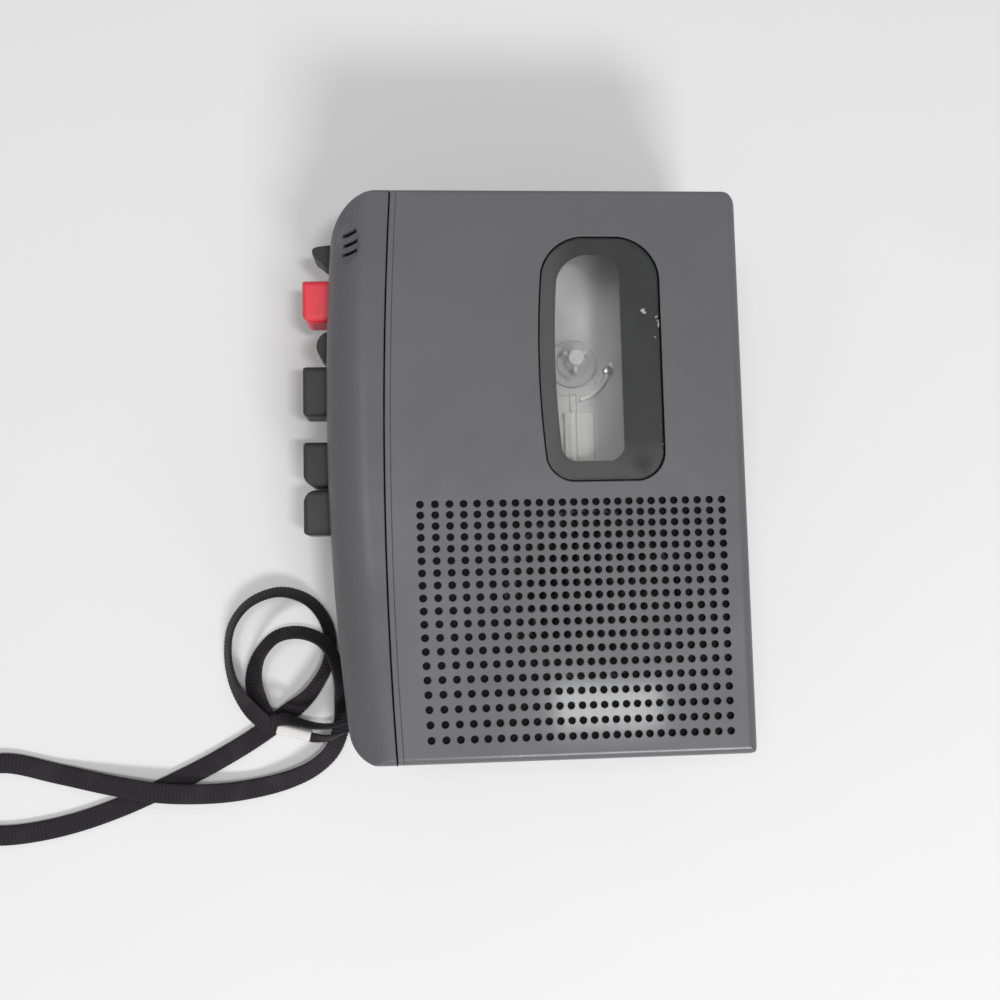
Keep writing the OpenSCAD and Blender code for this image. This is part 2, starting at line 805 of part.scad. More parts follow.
module speaker_cone() {
    color("black") translate([speaker_x, -speaker_y, 0]) rotate_extrude() polygon([
        [0, panel_z - 1.2], [3, panel_z - 1.5], [5, panel_z - 2.4], [speaker_r - 4.2, panel_z - 0.6],
        [speaker_r - 3, panel_z - 0.3], [speaker_r - 1.7, panel_z], [speaker_r - 2.3, panel_z - 0.65],
        [speaker_r - 4, panel_z - 1.1], [5.2, panel_z - 2.9], [3, panel_z - speaker_t + 2.65],
        [0, panel_z - speaker_t + 2.65]]);
}

module speaker_magnet() {
    color("silver") translate([speaker_x, -speaker_y, panel_z - speaker_t]) cylinder(r = 8, h = 1.9);
}

// Keys and slider on the control side

// Key outline seen from the front: r0 and r1 round the tip at its lower and upper end
module key_outline(y0, y1, r0, r1) {
    difference() {
        translate([-key_tip, y0]) square([key_tip + key_end, y1 - y0]);
        difference() {
            translate([-key_tip - 1, y0 - 1]) square(r0 + 1);
            translate([r0 - key_tip, y0 + r0]) circle(r0);
        }
        difference() {
            translate([-key_tip - 1, y1 - r1]) square(r1 + 1);
            translate([r1 - key_tip, y1 - r1]) circle(r1);
        }
    }
}

// Retaining flange behind the wall of a key from y0 to y1
module key_flange(y0, y1) {
    x = max(side_at(y0, wall), side_at(y1, wall)) + move_gap;
    span([x, y0, key_z - flange_out], [x + flange_t, y1, key_top + flange_out]);
}

module key(y, len, r0, r1) {
    y0 = y - len / 2;
    y1 = y + len / 2;
    intersection() {
        translate([0, 0, key_z]) linear_extrude(key_h) key_outline(y0, y1, r0, r1);
        translate([-key_tip, y1 + 1, key_z]) rotate([90, 0, 0]) linear_extrude(len + 2)
            round_rect(key_tip + 20, key_h, tip_r);
        translate([-key_tip - 1, y0, key_z]) rotate([90, 0, 90]) linear_extrude(key_tip + 20)
            round_rect(len, key_h, key_edge_r);
    }
    key_flange(y0, y1);
}

module record_key() { color("red") key(record_y, record_len, 2 * tip_r, tip_r); }

// Low key with a round back that is found by touch
module stop_key() {
    y0 = stop_y - stop_len / 2;
    out = side_at(stop_y, 0) - stop_out;
    round_r = (pow(stop_len / 2, 2) + pow(stop_out, 2)) / (2 * stop_out);
    color("dimgray") {
        translate([0, 0, key_z]) linear_extrude(key_h) intersection() {
            translate([out, y0]) square([key_end - out, stop_len]);
            union() {
                translate([out + round_r, stop_y]) circle(round_r);
                translate([out + stop_out, y0]) square([key_end - out - stop_out, stop_len]);
            }
        }
        key_flange(y0, y0 + stop_len);
    }
}

module play_key() { color("dimgray") key(play_y, play_len, tip_r, tip_r); }
module rewind_key() { color("dimgray") key(rewind_y, wind_len, wind_r, tip_r); }
module fast_forward_key() { color("dimgray") key(ff_y, wind_len, tip_r, wind_r); }

// Leaf comb under the deck whose fingers push the keys out again
module key_spring() {
    x = key_end + move_gap;
    low = ff_y - wind_len / 2;
    color("silver") {
        span([x, low, deck_z - 0.4], [deck_left + 1.3, record_y + record_len / 2, deck_z]);
        for (y = [record_y, stop_y, play_y, rewind_y, ff_y])
            span([x, y - 2, deck_z - 0.4], [x + 0.3, y + 2, key_top - 2]);
    }
}

module pause_slider() {
    z0 = key_z + 1;
    h = key_h - 2.6;
    x = side_at(pause_y - 2.4, 0) - 0.5;
    color("dimgray") {
        translate([0, 0, z0]) linear_extrude(h)
            polygon([[x, pause_y - 2.6], [x - 1.2, pause_y - 2.2], [3.3 - key_tip, pause_y - 1.1],
                [2.5 - key_tip, pause_y - 0.5], [2.1 - key_tip, pause_y + 0.2], [2 - key_tip, pause_y + 0.9],
                [2.3 - key_tip, pause_y + 1.5], [3 - key_tip, pause_y + 1.8], [x, pause_y + 2.2]]);
        span([x - 1, pause_y - 1.5, z0], [-33.9, pause_y + 1.5, z0 + h]);
        span([-35, pause_y - 2, z0 - 1.5], [-33.9, pause_y + 0.4, z0 + h + 1.5]);
    }
}

// Tape deck

module deck_plan() {
    top = top_in - 0.5;
    difference() {
        union() {
            translate([-25.6, box_high + 0.3]) square([deck_right + 25.6, top - box_high - 0.3]);
            translate([deck_left, open_low + 0.5]) square([6, open_high - open_low - 1]);
            translate([-25.6, -46]) square([box_left - 0.4 + 25.6, 46 + box_high + 1]);
        }
        for (p = case_screws) translate(p) square(2 * (post_r + move_gap), center = true);
        for (y = [hub_y, supply_y]) translate([hub_x, y]) circle(1.25 + run_fit);
        translate([capstan_x, capstan_y]) circle(capstan_r + run_fit);
    }
}

module chassis_deck() {
    color("gainsboro") {
        translate([0, 0, deck_z]) linear_extrude(deck_t) deck_plan();
        translate([idler_x, idler_y, wheel_z - 0.1]) cylinder(r = idler_pin_r, h = deck_z - wheel_z + 0.3);
        translate([arm_x, arm_y, deck_top - 0.2]) cylinder(r = arm_pin_r, h = arm_z + arm_t + 0.4 - deck_top);
        intersection() {
            translate([hub_x, hub_y, deck_top - 0.2]) difference() {
                cylinder(r = 8.4, h = 1.4);
                translate([0, 0, -1]) cylinder(r = 7.6, h = 4);
            }
            translate([0, 0, deck_top - 0.5]) linear_extrude(3) polygon([[hub_x, hub_y],
                [hub_x + 20, hub_y - 3], [hub_x + 20, hub_y - 20], [hub_x + 4, hub_y - 20]]);
        }
    }
}

// Light block that carries the middle of the cassette
module cassette_rest() {
    x = hub_x - 2;
    y = cassette_y - 6;
    color("lightgray") difference() {
        span([x, y, deck_top], [x + 6.4, y + 16.4, deck_top + 1.6]);
        span([x + 1.4, y + 4, deck_top + 1], [x + 2.6, y + 20, deck_top + 3]);
    }
}

// Reel table with a three-finned stem on its shaft
module spindle(y, low) {
    translate([hub_x, y, 0]) {
        translate([0, 0, low]) cylinder(r = 1.25, h = reel_z - low + 1);
        translate([0, 0, reel_z]) cylinder(r = reel_r, h = reel_t);
        translate([0, 0, reel_z]) cylinder(r = 3.4, h = reel_t + 0.4);
        translate([0, 0, reel_z]) cylinder(r = stem_r, h = stem_h);
        for (a = [0, 120, 240]) rotate([0, 0, a + 30])
            span([0, -0.4, reel_z + reel_t], [stem_r + 1.2, 0.4, reel_z + stem_h - 1.4]);
    }
}

module supply_spindle() {
    color("gainsboro") {
        spindle(supply_y, deck_z - 1.2);
        translate([hub_x, supply_y, deck_z - 1.2]) cylinder(r = 2.2, h = 0.8);
    }
}

module takeup_spindle() {
    color("gainsboro") {
        spindle(hub_y, wheel_z);
        translate([hub_x, hub_y, wheel_z]) cylinder(r = reel_wheel_r, h = wheel_t);
    }
}

module capstan_flywheel() {
    low = wall + 4.2;
    color("silver") translate([capstan_x, capstan_y, 0]) {
        translate([0, 0, wall + move_gap]) cylinder(r = capstan_r, h = deck_top + 10.6 - wall);
        rotate_extrude() polygon([[0, low], [fly_r, low], [fly_r, belt_z - 0.3], [groove_r, belt_z - 0.3],
            [groove_r, belt_z + belt_t + 0.3], [fly_r, belt_z + belt_t + 0.3], [fly_r, belt_z + belt_t + 0.8],
            [drive_r, belt_z + belt_t + 0.8], [drive_r, wheel_z + wheel_t], [0, wheel_z + wheel_t]]);
    }
}

module idler_wheel() {
    color("black") translate([idler_x, idler_y, wheel_z]) difference() {
        cylinder(r = idler_r, h = wheel_t);
        translate([0, 0, -1]) cylinder(r = idler_pin_r + run_fit, h = wheel_t + 2);
    }
}

module drive_motor() {
    color("silver") translate([motor_x, motor_y, motor_z]) {
        cylinder(r = motor_r, h = motor_h);
        cylinder(r = 3, h = motor_h + 0.5);
        cylinder(r = 0.75, h = motor_h + 2.9);
    }
}

module motor_pulley() {
    color("goldenrod") translate([motor_x, motor_y, 0]) rotate_extrude() polygon([
        [0.75 + run_fit, belt_z - 0.6], [pulley_r + 0.7, belt_z - 0.6], [pulley_r + 0.7, belt_z - 0.3],
        [pulley_r, belt_z - 0.3], [pulley_r, belt_z + belt_t + 0.3], [pulley_r + 0.7, belt_z + belt_t + 0.3],
        [pulley_r + 0.7, belt_z + belt_t + 0.6], [0.75 + run_fit, belt_z + belt_t + 0.6]]);
}

// Belt loop round the flywheel and the pulley, with radii grown by g
module belt_loop(g) {
    a = [capstan_x, capstan_y];
    b = [motor_x, motor_y];
    ra = groove_r + g;
    rb = pulley_r + g;
    turn = atan2(b.y - a.y, b.x - a.x);
    lean = acos((ra - rb) / norm(b - a));
    polygon([for (k = [0 : 40]) let (w = turn + lean + k * (360 - 2 * lean) / 40) a + ra * [cos(w), sin(w)],
        for (k = [0 : 16]) let (w = turn - lean + k * 2 * lean / 16) b + rb * [cos(w), sin(w)]]);
}

module drive_belt() {
    color("black") translate([0, 0, belt_z]) linear_extrude(belt_t) difference() {
        belt_loop(move_gap + 0.6);
        belt_loop(move_gap);
    }
}

module head_plate() {
    color("gainsboro")
        span([plate_left, plate_low, plate_z], [plate_right, arm_y - 3.6, plate_z + plate_t]);
}

// Head with a rounded face: depth, width and height
module head(y, depth, width, height) {
    x = plate_right - depth + 0.4;
    translate([0, 0, plate_z + plate_t]) linear_extrude(height) {
        translate([x, y - width / 2]) square([depth - 1.5, width]);
        translate([x + depth - 5, y]) intersection() {
            circle(5);
            translate([0, -width / 2]) square([6, width]);
        }
    }
}
module record_play_head() { color("silver") head(cassette_y, 5.8, 9, 10.4); }
module erase_head() { color("dimgray") head(cassette_y - 21.5, 5, 6, 9); }

module pinch_arm() {
    tip = capstan_y;
    color("gainsboro") {
        translate([0, 0, arm_z]) linear_extrude(arm_t) difference() {
            union() {
                translate([arm_x, arm_y]) circle(2.8);
                translate([arm_x, tip]) circle(2.2);
                translate([arm_x - 1.6, arm_y]) square([3.2, tip - arm_y]);
            }
            translate([arm_x, arm_y]) circle(arm_pin_r + run_fit);
        }
        translate([arm_x, tip, arm_z]) cylinder(r = roller_pin_r, h = arm_t + roller_len + 0.9);
    }
}

module pinch_roller() {
    color("black") translate([arm_x, capstan_y, arm_z + arm_t + move_gap]) difference() {
        cylinder(r = pinch_r, h = roller_len);
        translate([0, 0, -1]) cylinder(r = roller_pin_r + run_fit, h = roller_len + 2);
    }
}

// Dials, switch, sockets and electronics

module dial(y) {
    translate([dial_x, y, dial_z]) difference() {
        cylinder(r = dial_r, h = dial_t);
        translate([0, 0, -1]) cylinder(r = pot_r + run_fit, h = dial_t + 2);
        for (a = [0 : 10 : 350]) rotate([0, 0, a]) translate([dial_r + 0.25, 0, -1])
            cylinder(r = 0.5, h = dial_t + 2);
    }
}

module pot(y) {
    translate([dial_x, y, wall]) {
        cylinder(r = 6, h = dial_z - wall - move_gap);
        cylinder(r = pot_r, h = dial_z - wall + dial_t + 0.6);
    }
}

module volume_dial() { color("dimgray") dial(volume_y); }
module volume_pot() { color("silver") pot(volume_y); }
module speed_dial() { color("dimgray") dial(speed_y); }
module speed_pot() { color("silver") pot(speed_y); }

module voice_switch() {
    color("black") {
        span([vor_x - 2, top_in - 1.2, vor_z - 1.5], [vor_x + 2, half_h - 0.3, vor_z + 1.5]);
        span([vor_x - 3, top_in - 1.2, vor_z - 2.4], [vor_x + 3, top_in - move_gap, vor_z + 2.4]);
    }
}

module voice_switch_base() {
    color("silver") span([vor_x - 3.6, top_in - 4.4, wall],
        [vor_x + 3.6 + vor_travel, top_in - 1.5, vor_z + 3]);
}

module circuit_board() {
    color("darkgreen") translate([0, 0, board_z]) linear_extrude(board_t) intersection() {
        plan(wall + 0.5);
        translate([-far, board_low]) square([far + board_right, board_len]);
    }
}

module circuit_parts() {
    color("black") translate([board_right, board_low, board_z + board_t]) {
        span([-17.8, 20, 0], [-7.8, 27, 1.8]);
        span([-5.8, 32, 0], [-1.3, 38, 1.6]);
        for (p = [[-15.8, 39], [-10.3, 40], [-4.8, 16], [-11.8, 10]]) translate(p) cylinder(r = 2.2, h = 5);
    }
}

// Socket with its bore open at the top end
module jack(x) {
    difference() {
        union() {
            span([x - 3.7, top_in - 10.1, wall], [x + 3.7, top_in - 1.5, jack_z + 3.9]);
            translate([x, top_in - 2, jack_z]) along_y(3, wall + 1.8);
        }
        translate([x, top_in - 9.4, jack_z]) along_y(jack_r, 20);
    }
}
module ear_jack() { color("black") jack(ear_x); }
module mic_jack() { color("black") jack(-mic_x); }

module mic_capsule() {
    color("silver") translate([side_at(mic_y, 0) + shoulder_r, mic_y, body_t - shoulder_r])
        rotate([0, -mic_tilt, 0]) translate([0, 0, shoulder_r - wall - 0.8 - 4]) cylinder(r = 3, h = 4);
}

module cell(y) {
    color("steelblue") {
        translate([cell_x0, y, cell_z]) along_x(cell_r, cell_len - 1);
        translate([cell_x0, y, cell_z]) along_x(2.6, cell_len);
    }
}
module cell_upper() { cell(cell_y2); }
module cell_lower() { cell(cell_y1); }

module cell_springs() {
    color("silver") for (y = [cell_y1, cell_y2]) translate([box_left + box_wall, y, cell_z]) {
        along_x(5, 0.4);
        translate([0.4, 0, 0]) rotate([0, 90, 0]) cylinder(r1 = 4, r2 = 2.4, h = 1.2);
    }
}

module cell_plate() {
    x = box_right - box_wall;
    color("silver") span([x - 0.4, cell_y1 - 4, cell_z - 4], [x, cell_y2 + 4, cell_z + 4]);
}

// Wrist strap

module strap_pin() {
    color("silver") translate([strap_x, strap_y, wall]) cylinder(r = strap_pin_r, h = split_z - wall);
}

// Routes of the tape: x, y, z and the tilt of the tape out of the flat
loop_route = [
    [-51, -53.9, 4.2, -8], [-55.5, -52, 4.6, -14], [-59.5, -48.3, 4.6, -32], [-62.8, -43.5, 3.4, -54],
    [-64.3, -37, 2.5, -62], [-63.4, -30.4, 2.4, -62], [-59.4, -25.4, 2.4, -62], [-53, -23.2, 2.4, -62],
    [-46.8, -25, 2.4, -62], [-42.9, -29.4, 2.4, -62], [-41.5, -35, 2.3, -60], [-42.6, -40.6, 2.1, -50],
    [-46.4, -46.4, 1.8, -33], [-51.6, -50.6, 1.05, -9], [-57, -54.6, 0.7, 0], [-64, -58.8, 0.7, 0],
    [-73, -63.4, 0.7, 0], [-88, -69.8, 0.7, 0], [-101, -73.6, 0.7, 0], [-113, -75, 0.7, 0],
    [-120.5, -73.4, 1, 8], [-124.5, -68, 1.3, 16], [-121.5, -61.5, 1, 8], [-113, -59.4, 0.8, 0],
    [-101, -62.2, 1, 0], [-89, -65, 2, 0], [-78, -66.9, 2.6, 0], [-67, -67.4, 2, 0],
    [-58.5, -66.7, 1.2, 6], [-51, -65, 1.4, 20], [-45.2, -62.4, 1.8, 32], [-41.2, -58.6, 2, 38],
    [-39.2, -53, 2, 38], [-38.9, -47, 3.1, 42], [-39.1, -42, 6.2, 52], [-40.8, -36.8, 7.7, 60],
    [-43.6, -33.6, 7.7, 58], [-48.4, -32.2, 6.2, 55], [-53.4, -33.2, 4.2, 50], [-57, -36.8, 2.9, 46],
    [-58.6, -41.4, 2.2, 30], [-58.2, -46, 2, 16], [-56, -50.4, 2.5, 10], [-51, -53.9, 2.7, 8]];

lanyard_route = [
    [-48.8, -54.6, 3.5, 8], [-45.4, -55.5, 4.4, 30], [-41.6, -55.4, 6.2, 62], [-38, -54.1, 6.8, 88],
    [-35.2, -53.6, 6.8, 90], [-33.2, -53.2, 6.8, 90], [-32.6, -52, 6.8, 90], [-33.2, -50.8, 6.8, 90],
    [-35.2, -50.4, 6.8, 90], [-38, -50.9, 6.8, 88], [-42, -51.6, 6.7, 70], [-45.6, -51.5, 6.9, 35],
    [-49.4, -51.3, 6.6, 5], [-53, -52.4, 5.75, -10]];

// Smooth curve through a route with n steps between its points
function between(a, b, c, d, t) = 0.5 * (2 * b + (c - a) * t + (2 * a - 5 * b + 4 * c - d) * t * t
    + (3 * b - a - 3 * c + d) * t * t * t);
function smooth(p, n) = [
    for (i = [0 : len(p) - 2], k = [0 : n - 1])
        between(p[max(i - 1, 0)], p[i], p[i + 1], p[min(i + 2, len(p) - 1)], k / n),
    p[len(p) - 1]];

function unit(v) = v / norm(v);
function place(q) = [q[0], q[1], q[2]];

// Flat tape swept along a route: each ring is an octagon across the tape
module tape(route, n, width) {
    p = smooth(route, n);
    count = len(p);
    w = width / 2;
    t = tape_t / 2;
    shape = [[w, t / 2], [w - t / 2, t], [t / 2 - w, t], [-w, t / 2],
        [-w, -t / 2], [t / 2 - w, -t], [w - t / 2, -t], [w, -t / 2]];
    points = [for (i = [0 : count - 1])
        let (dir = unit(place(p[min(i + 1, count - 1)]) - place(p[max(i - 1, 0)])),
            flat = unit(cross([0, 0, 1], dir)),
            up = cross(dir, flat),
            side = cos(p[i][3]) * flat + sin(p[i][3]) * up,
            face = cross(dir, side))
        for (s = shape) place(p[i]) + s.x * side + s.y * face];
    polyhedron(points, concat(
        [for (k = [1 : 6]) [0, k + 1, k]],
        [for (k = [1 : 6]) let (e = 8 * (count - 1)) [e, e + k, e + k + 1]],
        [for (i = [0 : count - 2], k = [0 : 7])
            let (a = 8 * i, m = (k + 1) % 8) [a + k, a + m, a + 8 + m]],
        [for (i = [0 : count - 2], k = [0 : 7])
            let (a = 8 * i, m = (k + 1) % 8) [a + k, a + 8 + m, a + 8 + k]]));
}

module strap_webbing() { color("#222222") tape(loop_route, 2, tape_w); }
module strap_lanyard() { color("#222222") tape(lanyard_route, 2, lanyard_w); }

// Flattened white tube that binds the tape
module strap_sleeve() {
    color("white") translate([-49.9, -54.4, 3.5]) rotate([0, 0, -15]) rotate([90, 0, 90])
        translate([-2.6, -1.9, -sleeve_len / 2]) linear_extrude(sleeve_len) round_rect(5.2, 3.8, 1.2);
}

rear_cover();
front_cabinet();
battery_door();
battery_box();
case_screws_set();
hinge_pin_upper();
hinge_pin_lower();
lid_frame();
lid_cover();
window_lens();
window_mask();
lid_tongue();
cassette_springs();
speaker_basket();
speaker_cone();
speaker_magnet();
record_key();
stop_key();
play_key();
rewind_key();
fast_forward_key();
key_spring();
pause_slider();
chassis_deck();
cassette_rest();
supply_spindle();
takeup_spindle();
capstan_flywheel();
idler_wheel();
drive_motor();
motor_pulley();
drive_belt();
head_plate();
record_play_head();
erase_head();
pinch_arm();
pinch_roller();
volume_dial();
volume_pot();
speed_dial();
speed_pot();
voice_switch();
voice_switch_base();
circuit_board();
circuit_parts();
ear_jack();
mic_jack();
mic_capsule();
cell_upper();
cell_lower();
cell_springs();
cell_plate();
strap_pin();
strap_sleeve();
strap_webbing();
strap_lanyard();
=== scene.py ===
import bpy
import numpy as np
from mathutils import Matrix


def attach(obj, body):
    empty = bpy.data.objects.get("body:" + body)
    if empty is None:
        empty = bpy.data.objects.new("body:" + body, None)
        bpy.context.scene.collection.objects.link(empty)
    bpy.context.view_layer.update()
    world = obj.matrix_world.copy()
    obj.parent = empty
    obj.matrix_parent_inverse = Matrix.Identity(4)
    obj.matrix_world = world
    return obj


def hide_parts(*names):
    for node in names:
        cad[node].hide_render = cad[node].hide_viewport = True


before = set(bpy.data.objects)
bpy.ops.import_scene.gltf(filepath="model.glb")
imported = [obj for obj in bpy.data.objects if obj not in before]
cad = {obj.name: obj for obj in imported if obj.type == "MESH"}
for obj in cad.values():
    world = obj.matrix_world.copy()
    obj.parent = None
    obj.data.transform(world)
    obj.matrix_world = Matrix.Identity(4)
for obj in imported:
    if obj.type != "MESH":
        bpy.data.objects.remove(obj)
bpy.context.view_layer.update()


# View. A camera on a stand looks down on the recorder, a little from its left and its lower end.
# The rows are the picture's right, its down and its line of sight, for a frame as wide as its distance.
CAMERA_PLACE = (-0.018678, -0.021999, 0.232253)
right = np.array((0.99737, -0.02294, 0.06870))
down = np.array((-0.01722, -0.99643, -0.08270))
ahead = np.array((0.07035, 0.08130, -0.99420))
lens = bpy.data.cameras.new("view")
lens.sensor_width = 36
lens.lens = 36
lens.clip_start = 0.01
camera = bpy.data.objects.new("view", lens)
bpy.context.scene.collection.objects.link(camera)
axes = np.array([right, -down, -ahead]).T
camera.matrix_world = Matrix.Translation(CAMERA_PLACE) @ Matrix(axes.tolist()).to_4x4()
bpy.context.scene.camera = camera
bpy.context.scene.view_settings.view_transform = "Standard"


# Wrist strap. A flat polyester tape 4.4 mm wide, woven with a rib across it at every 0.8 mm,
# is sewn into a long loop and held in a sleeve. It lies on the table, turning on its edge in the curls.
LOOP_WIDTH = 0.0044
TAIL_WIDTH = 0.0028
TAPE_THICK = 0.0009
RIB_PITCH = 0.0008
RIB_RELIEF = 0.1
EDGE_DRAWN_IN = 0.012
YARN_PITCH = 0.00055
FOLD_RUN = 0.005
# A route's points give x, y and z in millimetres, and the tape's tilt in degrees.
loop_route = [
    (-51, -53.9, 4.2, -8), (-55.5, -52, 4.6, -14), (-59.5, -48.3, 4.6, -32), (-62.8, -43.5, 3.4, -54),
    (-64.3, -37, 2.5, -62), (-63.4, -30.4, 2.4, -62), (-59.4, -25.4, 2.4, -62), (-53, -23.2, 2.4, -62),
    (-46.8, -25, 2.4, -62), (-42.9, -29.4, 2.4, -62), (-41.5, -35, 2.3, -60), (-42.6, -40.6, 2.2, -60),
    (-46.4, -46.4, 2.05, -45), (-51.6, -50.6, 1.05, -9), (-57, -54.6, 0.7, 0), (-64, -58.8, 0.7, 0),
    (-73, -63.4, 0.7, 0), (-88, -69.8, 0.7, 0), (-101, -73.6, 0.7, 0), (-113, -75, 0.7, 0),
    (-120.5, -73.4, 1, 8), (-124.5, -68, 1.3, 16), (-121.5, -61.5, 1, 8), (-113, -59.4, 0.8, 0),
    (-101, -62.2, 1, 0), (-89, -65, 2, 0), (-78, -66.9, 2.6, 0), (-67, -67.4, 2, 0),
    (-58.5, -66.7, 1.2, 6), (-51, -65, 1.4, 20), (-45.2, -62.4, 1.8, 32), (-41.2, -58.6, 2, 38),
    (-39.2, -53, 2, 38), (-38.9, -47, 3.1, 42), (-39.1, -42, 6.2, 52), (-40.8, -36.8, 7.7, 60),
    (-43.6, -33.6, 7.7, 58), (-48.4, -32.2, 6.2, 55), (-53.4, -33.2, 4.2, 50), (-57, -36.8, 2.9, 46),
    (-58.6, -41.4, 2.2, 30), (-58.2, -46, 2, 16), (-56, -50.4, 2.5, 10), (-51, -53.9, 2.7, 8)]
lanyard_route = [
    (-48.8, -54.6, 3.5, 8), (-45.4, -55.5, 4.4, 30), (-41.6, -55.4, 6.2, 62), (-38, -54.1, 6.8, 88),
    (-35.2, -53.6, 6.8, 90), (-33.2, -53.2, 6.8, 90), (-32.6, -52, 6.8, 90), (-33.2, -50.8, 6.8, 90),
    (-35.2, -50.7, 6.8, 90), (-38, -52.1, 6.8, 88), (-41.6, -52.9, 6.35, 80), (-45.2, -52.75, 5.7, 70),
    (-48.6, -51.9, 5.5, 58), (-51.2, -51.2, 5.8, 32), (-54.2, -51.4, 6.15, -8)]


def through(points, step):
    """A smooth line through points, one even step apart along its length. Between two points each
    coordinate is the cubic whose slope at a point is half the way from the point before to the one after."""
    p = np.asarray(points, float)
    p = np.vstack([2 * p[0] - p[1], p, 2 * p[-1] - p[-2]])
    t = np.linspace(0, 1, 60, endpoint=False)[:, None]
    a, b, c, d = (p[i : len(p) - 3 + i, None, :] for i in range(4))
    line = 0.5 * (2 * b + (c - a) * t + (2 * a - 5 * b + 4 * c - d) * t**2
                  + (3 * b - a - 3 * c + d) * t**3)
    line = np.vstack([line.reshape(-1, p.shape[1]), p[-2]])
    run = np.concatenate([[0], np.cumsum(np.linalg.norm(np.diff(line[:, :3], axis=0), axis=1))])
    even = np.linspace(0, run[-1], max(int(run[-1] / step), 8) + 1)
    return np.column_stack([np.interp(even, run, column) for column in line.T]), even


def surface(name, grid, ends=True, maps=None):
    """A mesh object from a grid of points, rings by points round a ring. Each cell is a four-sided face and
    every ring is closed. Ends fills the first and the last ring with one face each, and maps gives each
    point its place in the UV map."""
    rings, around = grid.shape[:2]
    ring = np.arange(rings - 1)[:, None]
    spot = np.arange(around)[None, :]
    after = (spot + 1) % around
    cells = np.stack([ring * around + spot, ring * around + after,
                      (ring + 1) * around + after, (ring + 1) * around + spot], axis=-1).reshape(-1, 4)
    faces = cells.tolist()
    if ends:
        faces += [list(range(around))[::-1], list(range((rings - 1) * around, rings * around))]
    mesh = bpy.data.meshes.new(name)
    mesh.from_pydata(grid.reshape(-1, 3).tolist(), [], faces)
    if maps is not None:
        layer = mesh.uv_layers.new(name="run")
        corner = np.zeros(len(mesh.loops), np.int64)
        mesh.loops.foreach_get("vertex_index", corner)
        layer.data.foreach_set("uv", maps.reshape(-1, 2)[corner].astype(np.float32).ravel())
    mesh.shade_smooth()
    made = bpy.data.objects.new(name, mesh)
    bpy.context.scene.collection.objects.link(made)
    return made


def squared(wave, power):
    """A sine or cosine pushed towards a square wave, so that a pair of them runs round a rounded oblong."""
    return np.sign(wave) * np.abs(wave) ** power


def tape(name, route, width, first, last):
    """Woven tape: a flat oval profile, carried along the route and tilted about it. Its half thickness
    rises and falls once a rib, and its edges draw in between ribs, as the weft turns back there. It narrows
    to the first and the last share of its width at its two ends, where the sleeve folds it."""
    line, run = through(np.asarray(route, float) * (1e-3, 1e-3, 1e-3, 1), RIB_PITCH / 6)
    centre, tilt = line[:, :3], np.radians(line[:, 3])[:, None]
    along = np.gradient(centre, run, axis=0)
    along /= np.linalg.norm(along, axis=1)[:, None]
    flat = np.cross((0, 0, 1), along)
    flat /= np.linalg.norm(flat, axis=1)[:, None]
    side = np.cos(tilt) * flat + np.sin(tilt) * np.cross(along, flat)
    face = np.cross(along, side)
    turn = np.linspace(0, 2 * np.pi, 20, endpoint=False)
    across, thick = squared(np.cos(turn), 0.55), squared(np.sin(turn), 0.6)
    rib = np.sin(2 * np.pi * run / RIB_PITCH)[:, None]
    narrowed = (1 - first) * np.exp(-((run / FOLD_RUN) ** 2))
    narrowed = narrowed + (1 - last) * np.exp(-(((run[-1] - run) / FOLD_RUN) ** 2))
    wide = width / 2 * (1 - narrowed)[:, None] * (1 - EDGE_DRAWN_IN + EDGE_DRAWN_IN * rib) * across
    high = TAPE_THICK / 2 * (1 - RIB_RELIEF + RIB_RELIEF * rib) * thick
    grid = centre[:, None] + wide[..., None] * side[:, None] + high[..., None] * face[:, None]
    maps = np.stack(np.broadcast_arrays(run[:, None] * 1e3, across * width / 2 * 1e3), axis=-1)
    return surface(name, grid, maps=maps), centre, run[-1]


strap_loop, loop_line, loop_length = tape("strap_loop", loop_route, LOOP_WIDTH, 0.5, 0.5)
strap_tail, tail_line, tail_length = tape("strap_tail", lanyard_route, TAIL_WIDTH, 0.8, 1.0)


def put(tree, made, inputs):
    """Sets each of a node's sockets to a value, or joins it to another node's socket."""
    for key, value in inputs.items():
        if isinstance(value, bpy.types.NodeSocket):
            tree.links.new(value, made.inputs[key])
        else:
            made.inputs[key].default_value = value


def node(tree, kind, inputs=None, **settings):
    """A shader node with its settings and its sockets."""
    made = tree.nodes.new("ShaderNode" + kind)
    for key, value in settings.items():
        setattr(made, key, value)
    put(tree, made, inputs or {})
    return made


def sums(tree, operation, a, b=0.0, c=0.0):
    """One sum on two or three numbers or sockets."""
    return node(tree, "Math", {0: a, 1: b, 2: c}, operation=operation).outputs[0]


def between(tree, value, low, high, start=0.0, stop=1.0):
    """The value's place between low and high, as a number from start to stop."""
    return node(tree, "MapRange", {"Value": value, "From Min": low, "From Max": high,
                                   "To Min": start, "To Max": stop}).outputs["Result"]


def tint(tree, share, a, b):
    """Two colours mixed, with a share of the second."""
    return node(tree, "Mix", {0: share, 6: a, 7: b}, data_type="RGBA").outputs[2]


def finish_of(name):
    """A new material, with its node tree and its shader."""
    made = bpy.data.materials.new(name)
    made.use_nodes = True
    tree = made.node_tree
    return made, tree, tree.nodes["Principled BSDF"]


